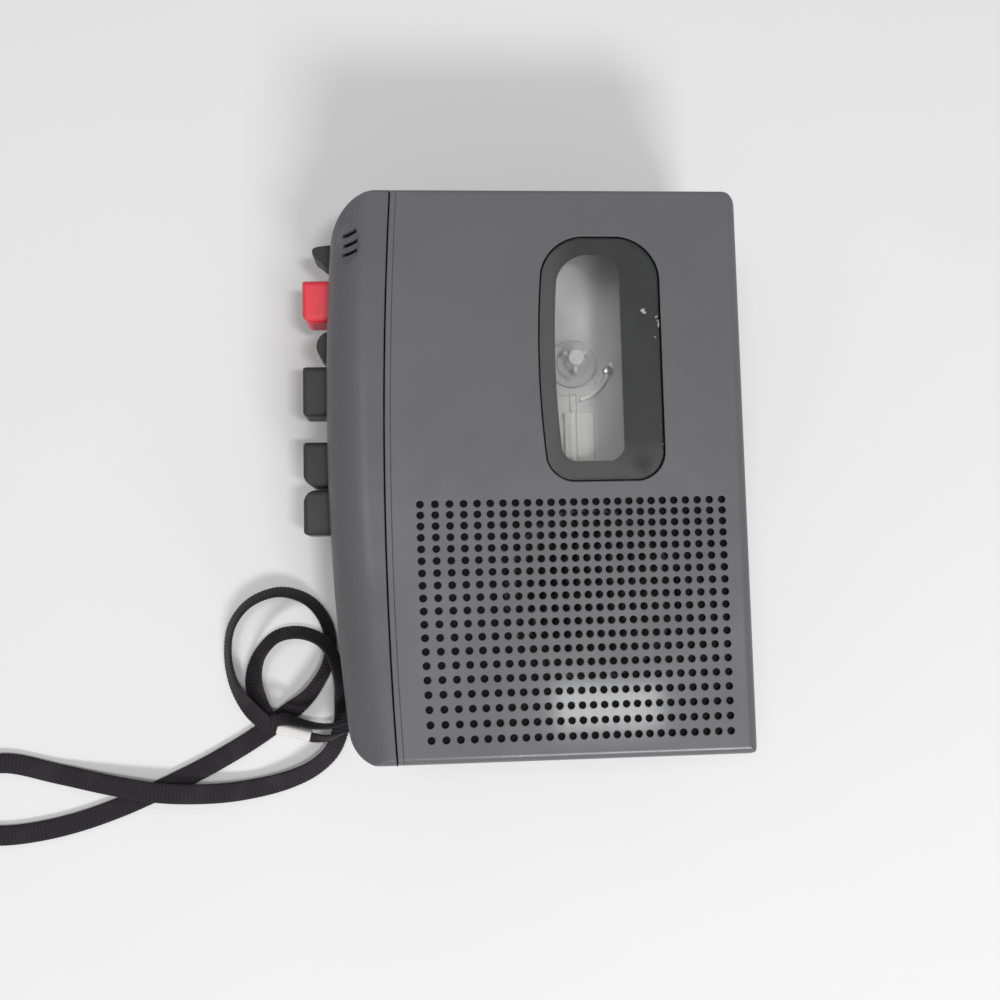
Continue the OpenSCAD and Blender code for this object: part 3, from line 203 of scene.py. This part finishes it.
woven_tape, tree, shader = finish_of("woven_tape")
run_map = node(tree, "UVMap", uv_map="run").outputs["UV"]
place = node(tree, "SeparateXYZ", {0: run_map})
yarn = sums(tree, "SINE", sums(tree, "MULTIPLY", place.outputs[1], 2 * np.pi / (YARN_PITCH * 1e3)))
rib = sums(tree, "SINE", sums(tree, "MULTIPLY", place.outputs[0], 2 * np.pi / (RIB_PITCH * 1e3)))
weave = sums(tree, "MULTIPLY_ADD", yarn, sums(tree, "MULTIPLY", rib, 0.5), 0.5)
fuzz = node(tree, "TexNoise", {"Vector": run_map, "Scale": 5.0, "Detail": 4.0}).outputs["Fac"]
faded = node(tree, "TexNoise", {"Vector": run_map, "Scale": 0.12, "Detail": 2.0}).outputs["Fac"]
shade = sums(tree, "MULTIPLY_ADD", rib, 0.16, sums(tree, "MULTIPLY", fuzz, 0.7))
colour = tint(tree, shade, (0.005, 0.004, 0.005, 1), (0.022, 0.019, 0.022, 1))
colour = tint(tree, between(tree, faded, 0.5, 0.75, 0, 0.5), colour, (0.034, 0.031, 0.033, 1))
height = sums(tree, "MULTIPLY_ADD", weave, 0.6, fuzz)
bump = node(tree, "Bump", {"Strength": 0.7, "Distance": 0.00005, "Height": height})
put(tree, shader, {"Base Color": colour, "Roughness": between(tree, fuzz, 0.3, 0.7, 0.55, 0.8),
                   "Normal": bump.outputs[0], "Sheen Weight": 0.05, "Sheen Roughness": 0.5,
                   "Specular IOR Level": 0.2})
for piece in (strap_loop, strap_tail):
    piece.data.materials.append(woven_tape)
    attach(piece, "housing")
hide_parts("strap_webbing")
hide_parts("strap_lanyard")


# Strap sleeve. A white plastic tube, shrunk over the four thicknesses of tape that meet in it.
# It keeps their flat oval section, and its ends are rolled in.
SLEEVE_MIDDLE = np.array((-0.0495, -0.0542, 0.0037))
SLEEVE_TURN = np.radians(-15)
SLEEVE_HALF = (0.0038, 0.0013, 0.0019)
SLEEVE_LIP = 0.86


def shrunk_tube():
    """A rounded oblong ring carried along the tube's axis. Its size falls off as a quarter circle over the
    last half millimetre, and ripples a little where the tape below it is stitched."""
    lip = np.linspace(SLEEVE_LIP, 1, 8)
    u = np.concatenate([-lip[::-1], np.linspace(-0.82, 0.82, 24), lip])
    turn = np.linspace(0, 2 * np.pi, 32, endpoint=False)
    rolled = np.clip((np.abs(u) - SLEEVE_LIP) / (1 - SLEEVE_LIP), 0, 1)
    rippled = 0.012 * (1 - np.cos(4 * np.pi * u)) * (rolled == 0)
    size = (1 - 0.16 * (1 - np.sqrt(1 - rolled**2)) - rippled)[:, None]
    x = np.broadcast_to(u[:, None] * SLEEVE_HALF[0], (len(u), len(turn)))
    y = size * SLEEVE_HALF[1] * squared(np.cos(turn), 0.55)
    z = size * SLEEVE_HALF[2] * squared(np.sin(turn), 0.55)
    cos, sin = np.cos(SLEEVE_TURN), np.sin(SLEEVE_TURN)
    return np.stack([cos * x - sin * y, sin * x + cos * y, z], axis=-1) + SLEEVE_MIDDLE


def group(name, inputs, outputs):
    """A shader group with number inputs and named outputs: its tree, and what goes in and comes out."""
    made = bpy.data.node_groups.new(name, "ShaderNodeTree")
    for label, value in inputs.items():
        socket = made.interface.new_socket(label, in_out="INPUT", socket_type="NodeSocketFloat")
        socket.default_value = value
    for label, kind in outputs.items():
        made.interface.new_socket(label, in_out="OUTPUT", socket_type="NodeSocket" + kind)
    return made, made.nodes.new("NodeGroupInput").outputs, made.nodes.new("NodeGroupOutput").inputs


# Fine even grain, with a slow change of tone over it. Size is the grain's in millimetres.
fine_grain, given, gives = group("fine_grain", {"Size": 0.3}, {"Height": "Float", "Tone": "Float"})
where = node(fine_grain, "TexCoord").outputs["Object"]
density = sums(fine_grain, "DIVIDE", 1000.0, given["Size"])
coarse = node(fine_grain, "TexNoise",
              {"Vector": where, "Scale": density, "Detail": 3.0, "Roughness": 0.65})
slow = node(fine_grain, "TexNoise", {"Vector": where, "Scale": 70.0, "Detail": 3.0})
fine_grain.links.new(coarse.outputs["Fac"], gives["Height"])
fine_grain.links.new(slow.outputs["Fac"], gives["Tone"])

white_tube, tree, shader = finish_of("white_tube")
grain = node(tree, "Group", {"Size": 0.5}, node_tree=fine_grain)
grime = between(tree, grain.outputs["Tone"], 0.45, 0.7, 0.0, 0.5)
colour = tint(tree, grime, (0.70, 0.695, 0.67, 1), (0.46, 0.445, 0.41, 1))
bump = node(tree, "Bump", {"Strength": 0.25, "Distance": 0.00003, "Height": grain.outputs["Height"]})
put(tree, shader, {"Base Color": colour,
                   "Roughness": between(tree, grain.outputs["Tone"], 0.3, 0.7, 0.38, 0.55),
                   "Normal": bump.outputs[0], "Subsurface Weight": 0.08, "Subsurface Scale": 0.001})
sleeve = surface("strap_tube", shrunk_tube())
sleeve.data.materials.append(white_tube)
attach(sleeve, "housing")
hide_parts("strap_sleeve")


# Cabinet. Rear cover, front cabinet and battery door are injection-moulded in dark grey ABS. Their grey is set
# a little darker than the lid's: painted shade, for the control column that curves away from the light.
# The mould's spark-eroded texture leaves a matt grain, which hands have polished along the edges.
DUST_COLOUR = (0.42, 0.41, 0.39, 1)
# Painted shade: the near-black, dead matt colour that stands for the shade deep in the lid's holes and gaps, and
# the width of its fade.
SHADE_PAINT_COLOUR = (0.010, 0.010, 0.010, 1)
SHADE_PAINT_FADE = 0.0001

# Rubbed edges: where the face turns away from the same face with its edges rounded off, in patches.
rubbed_edges, given, gives = group("rubbed_edges", {"Radius": 0.4, "Amount": 1.0},
                                   {"Mask": "Float", "Normal": "Vector"})
radius = sums(rubbed_edges, "MULTIPLY", given["Radius"], 0.001)
rounded = node(rubbed_edges, "Bevel", {"Radius": radius}, samples=6).outputs[0]
facing = node(rubbed_edges, "NewGeometry").outputs["Normal"]
cosine = node(rubbed_edges, "VectorMath", {0: rounded, 1: facing}, operation="DOT_PRODUCT").outputs["Value"]
where = node(rubbed_edges, "TexCoord").outputs["Object"]
patchy = node(rubbed_edges, "TexNoise", {"Vector": where, "Scale": 260.0, "Detail": 4.0}).outputs["Fac"]
bare = between(rubbed_edges, cosine, 0.985, 0.8)
worn = sums(rubbed_edges, "MULTIPLY", bare, between(rubbed_edges, patchy, 0.38, 0.62))
rubbed_edges.links.new(sums(rubbed_edges, "MULTIPLY", worn, given["Amount"]), gives["Mask"])
rubbed_edges.links.new(rounded, gives["Normal"])

# Settled dust: specks on faces that look up, thick where a slow noise is high.
settled_dust, given, gives = group("settled_dust", {"Amount": 0.3}, {"Mask": "Float"})
facing = node(settled_dust, "NewGeometry").outputs["Normal"]
upward = node(settled_dust, "SeparateXYZ", {0: facing}).outputs[2]
where = node(settled_dust, "TexCoord").outputs["Object"]
specks = node(settled_dust, "TexNoise", {"Vector": where, "Scale": 1500.0, "Detail": 2.0}).outputs["Fac"]
drift = node(settled_dust, "TexNoise", {"Vector": where, "Scale": 45.0, "Detail": 3.0}).outputs["Fac"]
speckled, drifted = between(settled_dust, specks, 0.6, 0.74), between(settled_dust, drift, 0.4, 0.7)
thick = sums(settled_dust, "MULTIPLY", speckled, drifted)
thick = sums(settled_dust, "MULTIPLY", thick, between(settled_dust, upward, 0.5, 0.95))
settled_dust.links.new(sums(settled_dust, "MULTIPLY", thick, given["Amount"]), gives["Mask"])


def moulded(name, colour, rough, grain_size=0.3, relief=0.5, edge=0.35, wear=0.6, dust=0.2, shine=0.5,
            polish=0.0, rim=0.0, black=None):
    """Moulded plastic: colour changed a little by slow tone, lighter and glossier on rubbed edges, with
    dust on top, and a fine grain as bump over edges rounded off by edge millimetres. Polish is the share of
    grain tops that hands have worn smooth, rim is how much less rough the faces are that lean between flat
    and upright, and what lies in the box of the two corners of black is painted black and matt: painted
    shade, for the shade deep in holes and gaps."""
    made, tree, shader = finish_of(name)
    grain = node(tree, "Group", {"Size": grain_size}, node_tree=fine_grain)
    edges = node(tree, "Group", {"Radius": edge, "Amount": wear}, node_tree=rubbed_edges)
    dusty = node(tree, "Group", {"Amount": dust}, node_tree=settled_dust)
    base = np.array(colour)
    pale = np.minimum(base * 1.7 + 0.02, 0.9)
    shown = tint(tree, grain.outputs["Tone"], (*(base * 0.88), 1), (*(base * 1.12), 1))
    speck = between(tree, grain.outputs["Height"], 0.3, 0.7, 0.88, 1.12)
    shown = node(tree, "VectorMath", {0: shown, 3: speck}, operation="SCALE").outputs[0]
    shown = tint(tree, edges.outputs["Mask"], shown, (*pale, 1))
    shown = tint(tree, dusty.outputs["Mask"], shown, DUST_COLOUR)
    if black is not None:
        # Painted shade: the box is painted near-black and dead matt, so it takes the shine and the polish away
        # as well.
        place = node(tree, "SeparateXYZ", {0: node(tree, "TexCoord").outputs["Object"]})
        shade_paint = 1.0
        for axis, (start, stop) in enumerate(zip(*black)):
            inside = sums(tree, "MULTIPLY", between(tree, place.outputs[axis], start - SHADE_PAINT_FADE, start),
                          between(tree, place.outputs[axis], stop + SHADE_PAINT_FADE, stop))
            shade_paint = sums(tree, "MULTIPLY", inside, shade_paint)
        shown = tint(tree, shade_paint, shown, SHADE_PAINT_COLOUR)
        shine, polish = between(tree, shade_paint, 0, 1, shine, 0.04), between(tree, shade_paint, 0, 1, polish, 0.0)
    gloss = between(tree, grain.outputs["Tone"], 0.3, 0.7, rough + 0.05, rough - 0.05)
    gloss = sums(tree, "MULTIPLY_ADD", edges.outputs["Mask"], -0.14, gloss)
    gloss = sums(tree, "MULTIPLY_ADD", dusty.outputs["Mask"], 0.3, gloss)
    if rim:
        lean = node(tree, "SeparateXYZ", {0: node(tree, "TexCoord").outputs["Normal"]}).outputs[2]
        round_off = sums(tree, "MULTIPLY", between(tree, lean, 0.995, 0.95), between(tree, lean, 0.2, 0.4))
        gloss = sums(tree, "MULTIPLY_ADD", round_off, -rim, gloss)
    bump = node(tree, "Bump", {"Strength": relief, "Distance": 0.00002, "Height": grain.outputs["Height"],
                               "Normal": edges.outputs["Normal"]})
    put(tree, shader, {"Base Color": shown, "Roughness": gloss, "Normal": bump.outputs[0],
                       "Specular IOR Level": shine, "Coat Weight": polish, "Coat Roughness": 0.08})
    return made


def dress(material, *names):
    """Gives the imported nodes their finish."""
    for name in names:
        slots = cad[name].data.materials
        slots.clear()
        slots.append(material)


# Painted shade: the cabinet's grey is set darker than the lid's, for the column that curves away from the light.
shaded_cabinet_grey = moulded("shaded_cabinet_grey", (0.088, 0.088, 0.092), 0.48, wear=0.35, dust=0.06, shine=0.35,
                       polish=0.04)
dress(shaded_cabinet_grey, "rear_cover", "front_cabinet", "battery_door")


# Lid. The frame carries the hinge and the rim, and a flat cover with the punched hole field is set in it.
# Both are moulded in grey with a finer grain and a smoother rim; the cabinet's grey is set a little darker
# than theirs as painted shade.
# The holes' walls in the cover and their floors on the frame are painted black: painted shade, for the
# shade that falls deep in the holes and in the gap round the window.
LID_COLOUR = (0.100, 0.100, 0.105)
LID_ROUGH = 0.46
LID_LOOK = {"grain_size": 0.24, "wear": 0.3, "shine": 0.35, "polish": 0.06, "rim": 0.17}
# The box and the heights over the lid that carry the painted shade in the holes and round the window.
SHADE_PAINT_LEFT, SHADE_PAINT_RIGHT, SHADE_PAINT_END = -0.0245, 0.0425, 0.054
COVER_SHADE_PAINT = (0.0354, 0.0363)
FRAME_SHADE_PAINT = (0.0344, 0.0356)


def painted(low, high):
    """The box over the lid's flat that is painted black between two heights, as painted shade."""
    return (SHADE_PAINT_LEFT, -SHADE_PAINT_END, low), (SHADE_PAINT_RIGHT, SHADE_PAINT_END, high)


lid_grey = moulded("lid_grey", LID_COLOUR, LID_ROUGH, dust=0.07, black=painted(*COVER_SHADE_PAINT), **LID_LOOK)
dress(lid_grey, "lid_cover")
frame_grey = moulded("frame_grey", LID_COLOUR, LID_ROUGH, dust=0.05, black=painted(*FRAME_SHADE_PAINT), **LID_LOOK)
dress(frame_grey, "lid_frame")


# Seam strip. A slim black felt strip stands along the control column where the lid's left edge shuts: painted
# shade, a dark sheet in the open seam where only shade is seen. It follows the seam's shallow arc.
# The microphone capsule behind the three slits wears the same felt.
SEAM_MIDDLE, SEAM_RADIUS = 0.8760, 0.9034
FELT_HALF_LENGTH = 0.05695
FELT_HALF_THICK = 0.00011
FELT_INSET = 0.00006
FELT_TOP, FELT_FOOT = 0.0357, 0.0239


def seam_shade_grid():
    """A flat oblong section carried along the seam's arc: its left face lies on the column, its right face
    stays clear of the lid, and its top edge is rounded as a half circle."""
    y = np.linspace(-FELT_HALF_LENGTH, FELT_HALF_LENGTH, 60)[:, None]
    turn = np.linspace(0, np.pi, 9)
    seam = SEAM_MIDDLE - np.sqrt(SEAM_RADIUS**2 - y**2)
    across = FELT_HALF_THICK * np.append(np.cos(turn), [-1, 1]) - FELT_INSET
    up = np.append(FELT_TOP + FELT_HALF_THICK * np.sin(turn), [FELT_FOOT, FELT_FOOT])
    return np.stack(np.broadcast_arrays(seam + across, y, up), axis=-1)


# The strip is painted shade: a dark sheet standing for the shade in the seam.
seam_shade_strip = surface("seam_shade_strip", seam_shade_grid())
black_felt = moulded("black_felt", (0.008, 0.008, 0.008), 0.9, grain_size=0.2, relief=0.8, wear=0.0,
                     dust=0.05, shine=0.1)
seam_shade_strip.data.materials.append(black_felt)
dress(black_felt, "mic_capsule")
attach(seam_shade_strip, "housing")


# Window. A clear acrylic pane lies in the lid's cover, with a dark border printed on its back.
# Years of handling have left hairlines and a few white scuffs near its right edge. The print is lighter
# on the left and towards the lower end, and has a dark smudge in its lower right corner.
SMUDGE = (0.0243, 0.0012, 0.0356)
PRINT_THICK = 0.00003
PANE_TOP = 0.03640
SCUFF_THICK = 0.00003
clear_acrylic, tree, shader = finish_of("clear_acrylic")
where = node(tree, "TexCoord").outputs["Object"]
drawn_out = node(tree, "Mapping", {"Vector": where, "Rotation": (0, 0, 0.6), "Scale": (1, 14, 1)}).outputs[0]
hairs = node(tree, "TexNoise", {"Vector": drawn_out, "Scale": 260.0, "Detail": 3.0}).outputs["Fac"]
haze = node(tree, "TexNoise", {"Vector": where, "Scale": 120.0, "Detail": 3.0}).outputs["Fac"]
hazy = between(tree, haze, 0.3, 0.7, 0.03, 0.07)
rough = sums(tree, "MULTIPLY_ADD", between(tree, hairs, 0.6, 0.8), 0.06, hazy)
put(tree, shader, {"Base Color": (0.97, 0.98, 0.98, 1), "Roughness": rough, "IOR": 1.49,
                   "Transmission Weight": 0.96, "Alpha": 0.2})
dress(clear_acrylic, "window_lens")

border_print, tree, shader = finish_of("border_print")
where = node(tree, "TexCoord").outputs["Object"]
fog = node(tree, "TexNoise", {"Vector": where, "Scale": 90.0, "Detail": 4.0}).outputs["Fac"]
place = node(tree, "SeparateXYZ", {0: where})
# The print is lighter towards the left and the lower end, in fogged patches.
left = between(tree, place.outputs[0], 0.011, 0.006)
low = between(tree, place.outputs[1], 0.006, 0.0005, 0, 0.8)
lighter_left_and_low = sums(tree, "MULTIPLY", sums(tree, "MAXIMUM", left, low), between(tree, fog, 0.2, 0.6, 0.8, 1.0))
colour = tint(tree, lighter_left_and_low, (0.009, 0.009, 0.009, 1), (0.052, 0.051, 0.051, 1))
spot = node(tree, "VectorMath", {0: where, 1: SMUDGE}, operation="DISTANCE").outputs["Value"]
spot = sums(tree, "MULTIPLY_ADD", sums(tree, "SUBTRACT", fog, 0.5), 0.004, spot)
colour = tint(tree, between(tree, spot, 0.0026, 0.0008, 0, 0.85), colour, (0.004, 0.004, 0.004, 1))
put(tree, shader, {"Base Color": colour, "Roughness": between(tree, fog, 0.3, 0.7, 0.3, 0.45),
                   "Specular IOR Level": 0.2,
                   "Normal": node(tree, "NewGeometry").outputs["True Normal"]})
dress(border_print, "window_mask")
# The print is drawn in by its own thickness, so that it doesn't lie in one plane with the pane's back.
print_layer = cad["window_mask"].modifiers.new("print_layer", "DISPLACE")
print_layer.mid_level, print_layer.strength = 0.0, -PRINT_THICK


def flakes(spots):
    """Whitened flakes on the pane: each a flat dome over a ragged round, whose radius changes with the angle
    as a sum of three sines. A spot gives its middle, its half lengths and its turn."""
    turn = np.linspace(0, 2 * np.pi, 24, endpoint=False)
    share = np.linspace(1, 0.05, 6)[:, None]
    grids = []
    for n, (x, y, long, wide, angle) in enumerate(spots):
        ragged = 1 + 0.22 * np.sin(3 * turn + n) + 0.16 * np.sin(5 * turn + 2 * n)
        ragged = ragged + 0.1 * np.sin(9 * turn + n * n)
        a, b = share * ragged * long * np.cos(turn), share * ragged * wide * np.sin(turn)
        cos, sin = np.cos(angle), np.sin(angle)
        domed = PANE_TOP + SCUFF_THICK * (1 - share**2)
        grids.append(np.stack(np.broadcast_arrays(x + a * cos - b * sin, y + a * sin + b * cos, domed), axis=-1))
    return grids


white_scuff = moulded("white_scuff", (0.42, 0.42, 0.41), 0.7, grain_size=0.15, relief=0.6, wear=0.0, dust=0.0)
scuffs = [(0.02500, 0.03190, 0.00042, 0.00050, 0.4), (0.02545, 0.03150, 0.00030, 0.00018, 0.9),
          (0.02772, 0.03065, 0.00034, 0.00014, 0.7), (0.02808, 0.02905, 0.00060, 0.00014, 1.5),
          (0.02798, 0.02985, 0.00022, 0.00016, 0.2), (0.02735, 0.02650, 0.00020, 0.00014, 0.9)]
for n, grid in enumerate(flakes(scuffs)):
    scuff = surface(f"window_scuff_{n + 1}", grid)
    scuff.data.materials.append(white_scuff)
    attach(scuff, "lid")


# Keys. Five keys and the pause slider move in the left side. The record key is red, the others dark grey ABS.
# Their fronts are plain moulded and rubbed on the corners by fingers.
key_grey = moulded("key_grey", (0.034, 0.033, 0.034), 0.44, grain_size=0.2, relief=0.3, edge=0.45, wear=0.5,
                   dust=0.06, shine=0.2)
dress(key_grey, "stop_key", "play_key", "rewind_key", "fast_forward_key", "pause_slider")
key_red = moulded("key_red", (0.74, 0.024, 0.046), 0.35, grain_size=0.2, relief=0.2, edge=0.5, wear=0.25,
                  dust=0.1)
dress(key_red, "record_key")


# Inside mouldings. The battery box, lid tongue, dials, sockets and switch button are black,
# plain from the mould. The block that carries the cassette is light grey, and the reel tables are grey.
inner_black = moulded("inner_black", (0.026, 0.026, 0.027), 0.45, grain_size=0.25, relief=0.3, wear=0.4)
dress(inner_black, "battery_box", "lid_tongue", "volume_dial", "speed_dial", "voice_switch",
      "ear_jack", "mic_jack", "volume_pot", "speed_pot")
rest_grey = moulded("rest_grey", (0.90, 0.90, 0.88), 0.5, relief=0.2, wear=0.1, dust=0.1)
dress(rest_grey, "cassette_rest")
reel_grey = moulded("reel_grey", (0.52, 0.52, 0.52), 0.42, relief=0.2, wear=0.3, dust=0.1)
dress(reel_grey, "supply_spindle", "takeup_spindle", "idler_wheel", "motor_pulley")


# Metalwork. Deck and head plate are zinc-plated steel sheet, the pins, leaf springs and contacts plated
# spring steel and wire, the heads and the capstan polished, and the motor can drawn aluminium. The
# loudspeaker's magnet is ferrite, and its basket takes the same dark colour: painted shade where its rim
# shows through the grille's holes.
# Painted highlight: the pale colour on what stands highest on the deck, where the tops of its ribs catch the
# light.
RIB_TOP_HIGHLIGHT = (0.92, 0.92, 0.91, 1)
METAL_EDGE = 0.12
RAISED_STEP = 0.0002

# Drawn grain: noise pulled out along one direction, as rolling or drawing leaves it.
drawn_grain, given, gives = group("drawn_grain", {"Fineness": 500.0, "Turn": 0.0},
                                  {"Height": "Float", "Stain": "Float"})
where = node(drawn_grain, "TexCoord").outputs["Object"]
about_z = node(drawn_grain, "CombineXYZ", {2: given["Turn"]}).outputs[0]
pulled = node(drawn_grain, "Mapping", {"Vector": where, "Rotation": about_z, "Scale": (1, 12, 12)}).outputs[0]
lines = node(drawn_grain, "TexNoise", {"Vector": pulled, "Scale": given["Fineness"], "Detail": 3.0})
cloudy = node(drawn_grain, "TexNoise", {"Vector": where, "Scale": 130.0, "Detail": 4.0})
drawn_grain.links.new(lines.outputs["Fac"], gives["Height"])
drawn_grain.links.new(cloudy.outputs["Fac"], gives["Stain"])


def metal(name, colour, stain, rough, relief=0.2, metallic=1.0, turn=0.0, raised=None):
    """Metal: its colour stained in slow clouds, roughness and bump from the drawn grain, edges rounded off.
    What stands higher than raised is painted pale: a painted highlight for the light the tops of ribs catch."""
    made, tree, shader = finish_of(name)
    grain = node(tree, "Group", {"Turn": turn}, node_tree=drawn_grain)
    edges = node(tree, "Group", {"Radius": METAL_EDGE}, node_tree=rubbed_edges)
    shown = tint(tree, between(tree, grain.outputs["Stain"], 0.35, 0.7), (*colour, 1), (*stain, 1))
    if raised is not None:
        level = node(tree, "SeparateXYZ", {0: node(tree, "TexCoord").outputs["Object"]}).outputs[2]
        shown = tint(tree, between(tree, level, raised, raised + RAISED_STEP), shown, RIB_TOP_HIGHLIGHT)
    gloss = between(tree, grain.outputs["Height"], 0.3, 0.7, max(rough - 0.07, 0.05), rough + 0.07)
    bump = node(tree, "Bump", {"Strength": relief, "Distance": 0.00001, "Height": grain.outputs["Height"],
                               "Normal": edges.outputs["Normal"]})
    put(tree, shader, {"Base Color": shown, "Roughness": gloss, "Metallic": metallic,
                       "Normal": bump.outputs[0]})
    return made


# The deck's tops above 17.1 mm carry the painted highlight.
deck_zinc = metal("deck_zinc", (0.72, 0.72, 0.715), (0.64, 0.64, 0.635), 0.5, metallic=0.15,
                  raised=0.0171)
dress(deck_zinc, "chassis_deck", "head_plate")
plated_steel = metal("plated_steel", (0.62, 0.62, 0.62), (0.5, 0.5, 0.5), 0.32)
dress(plated_steel, "hinge_pin_upper", "hinge_pin_lower", "cassette_springs", "key_spring", "cell_springs",
      "cell_plate", "strap_pin", "pinch_arm", "voice_switch_base", "case_screws_set")
polished_steel = metal("polished_steel", (0.70, 0.70, 0.71), (0.62, 0.62, 0.63), 0.16, relief=0.1)
dress(polished_steel, "record_play_head", "erase_head", "capstan_flywheel")
drawn_can = metal("drawn_can", (0.68, 0.68, 0.69), (0.58, 0.58, 0.59), 0.3, turn=1.57)
dress(drawn_can, "drive_motor")
ferrite_and_basket_shade = metal("ferrite_and_basket_shade", (0.05, 0.05, 0.052), (0.035, 0.035, 0.036), 0.6, metallic=0.0)
# The basket's dark colour is painted shade where its rim shows through the grille's holes.
dress(ferrite_and_basket_shade, "speaker_magnet", "speaker_basket")


# Deck fittings. A plated guide pin is riveted into the deck beside the take-up reel, and a pale frame
# round a slot stands below it. Both show through the window.
DECK_TOP = 0.0163
PIN_PLACE = (0.0209, 0.0237)
PIN_RADIUS = 0.0011
PIN_DOME_RADIUS, PIN_DOME_MIDDLE = 0.0024, 0.0157
SLOT_PLACE = (0.0133, 0.0166)
SLOT_SIZE = (0.0014, 0.0043)
SLOT_TOP = 0.0172
SLOT_LINE = 0.0003


def lathed(x, y, profile):
    """A turned piece: the profile, radius and height, carried round its own upright axis."""
    turn = np.linspace(0, 2 * np.pi, 24, endpoint=False)
    radius, height = np.array(profile).T[..., None]
    return np.stack(np.broadcast_arrays(x + radius * np.cos(turn), y + radius * np.sin(turn), height), axis=-1)


shank = [(PIN_RADIUS, DECK_TOP), (PIN_RADIUS, 0.0168)]
shoulder = [(0.00095, 0.0169)]
dome = [(PIN_DOME_RADIUS * np.sin(t), PIN_DOME_MIDDLE + PIN_DOME_RADIUS * np.cos(t))
        for t in np.linspace(0.407, 0.02, 8)]
guide_pin = surface("guide_pin", lathed(*PIN_PLACE, shank + shoulder + dome))
guide_pin.data.materials.append(plated_steel)
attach(guide_pin, "housing")


def slot_frame(x, y, wide, high, low, top, line):
    """A rounded oblong ring: a small square section with a rounded top, carried round a path whose
    coordinates are the signed power 0.35 of the cosine and the sine."""
    turn = np.linspace(0, 2 * np.pi, 49)[:, None]
    offset = line * np.array([0.5, 0.5, 0.3, -0.3, -0.5, -0.5])
    height = np.array([low, top - 0.2 * line, top, top, top - 0.2 * line, low])
    along = x + (wide / 2 + offset) * squared(np.cos(turn), 0.35)
    across = y + (high / 2 + offset) * squared(np.sin(turn), 0.35)
    return np.stack(np.broadcast_arrays(along, across, height), axis=-1)


frame_rim = surface("slot_frame", slot_frame(*SLOT_PLACE, *SLOT_SIZE, DECK_TOP, SLOT_TOP, SLOT_LINE), ends=False)
frame_rim.data.materials.append(rest_grey)
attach(frame_rim, "housing")


# Rubber, paper, board and cells. The pinch roller and belt are ground rubber, the loudspeaker's cone is
# pressed paper, the board is lacquered green, and the cells wear a plain printed sleeve.
ground_rubber = moulded("ground_rubber", (0.022, 0.022, 0.022), 0.7, grain_size=0.15, relief=0.6, wear=0.2,
                        dust=0.4)
dress(ground_rubber, "pinch_roller", "drive_belt")
pressed_paper = moulded("pressed_paper", (0.035, 0.034, 0.032), 0.85, grain_size=0.5, relief=0.9, wear=0.0,
                        dust=0.5)
dress(pressed_paper, "speaker_cone")
lacquered_board = moulded("lacquered_board", (0.05, 0.13, 0.05), 0.35, grain_size=0.8, relief=0.1, wear=0.2)
dress(lacquered_board, "circuit_board")
moulded_parts = moulded("moulded_parts", (0.02, 0.02, 0.02), 0.45, relief=0.3)
dress(moulded_parts, "circuit_parts")
cell_print = metal("cell_print", (0.12, 0.16, 0.22), (0.10, 0.14, 0.2), 0.3, metallic=0.2)
dress(cell_print, "cell_upper", "cell_lower")


# Studio. A pale table in a white room. A small key lamp hangs high over the lower right, whose mirror image
# is the highlight on the hole field, a wide front lamp stands past the lower end, and a fill is at the left.
ROOM_LIGHT = 0.34
ROOM_SEEN = (0.9, 0.9, 0.9, 1)
bpy.ops.mesh.primitive_plane_add(size=6, location=(0, 0, 0))
table = bpy.context.object
table.name = "table"
pale_table, tree, shader = finish_of("pale_table")
where = node(tree, "TexCoord").outputs["Object"]
mist = node(tree, "TexNoise", {"Vector": where, "Scale": 12.0, "Detail": 3.0}).outputs["Fac"]
colour = tint(tree, mist, (0.78, 0.78, 0.78, 1), (0.81, 0.81, 0.81, 1))
put(tree, shader, {"Base Color": colour, "Roughness": 0.9, "Specular IOR Level": 0.1})
table.data.materials.append(pale_table)


def softbox(name, place, aim, wide, high, power):
    """A rectangular lamp at place that looks at aim."""
    lamp = bpy.data.lights.new(name, "AREA")
    lamp.shape = "RECTANGLE"
    lamp.size, lamp.size_y, lamp.energy = wide, high, power
    made = bpy.data.objects.new(name, lamp)
    bpy.context.scene.collection.objects.link(made)
    back = np.array(place, float) - aim
    back /= np.linalg.norm(back)
    side = np.cross((0, 1, 0), back)
    side /= np.linalg.norm(side)
    stand = np.array([side, np.cross(back, side), back]).T
    made.matrix_world = Matrix.Translation(place) @ Matrix(stand.tolist()).to_4x4()


softbox("key_light", (0.19, -0.174, 1.04), (0.0, 0.0, 0.02), 0.125, 0.05, 2.9)
softbox("front_light", (0.21, -0.80, 0.66), (0.0, -0.05, 0.02), 0.36, 0.17, 6.0)
softbox("fill_light", (-0.26, 0.10, 1.0), (0.0, 0.0, 0.02), 0.25, 0.25, 1.7)
room = bpy.data.worlds.new("room")
bpy.context.scene.world = room
room.use_nodes = True
tree = room.node_tree
lit = tree.nodes["Background"]
put(tree, lit, {"Color": (1, 1, 1, 1), "Strength": ROOM_LIGHT})
seen = node(tree, "Background", {"Color": ROOM_SEEN, "Strength": 1.0})
path = node(tree, "LightPath")
direct = sums(tree, "MAXIMUM", path.outputs["Is Camera Ray"], path.outputs["Is Glossy Ray"])
direct = sums(tree, "MAXIMUM", direct, path.outputs["Is Transmission Ray"])
both = node(tree, "MixShader", {0: direct, 1: lit.outputs[0], 2: seen.outputs[0]})
tree.links.new(both.outputs[0], tree.nodes["World Output"].inputs["Surface"])
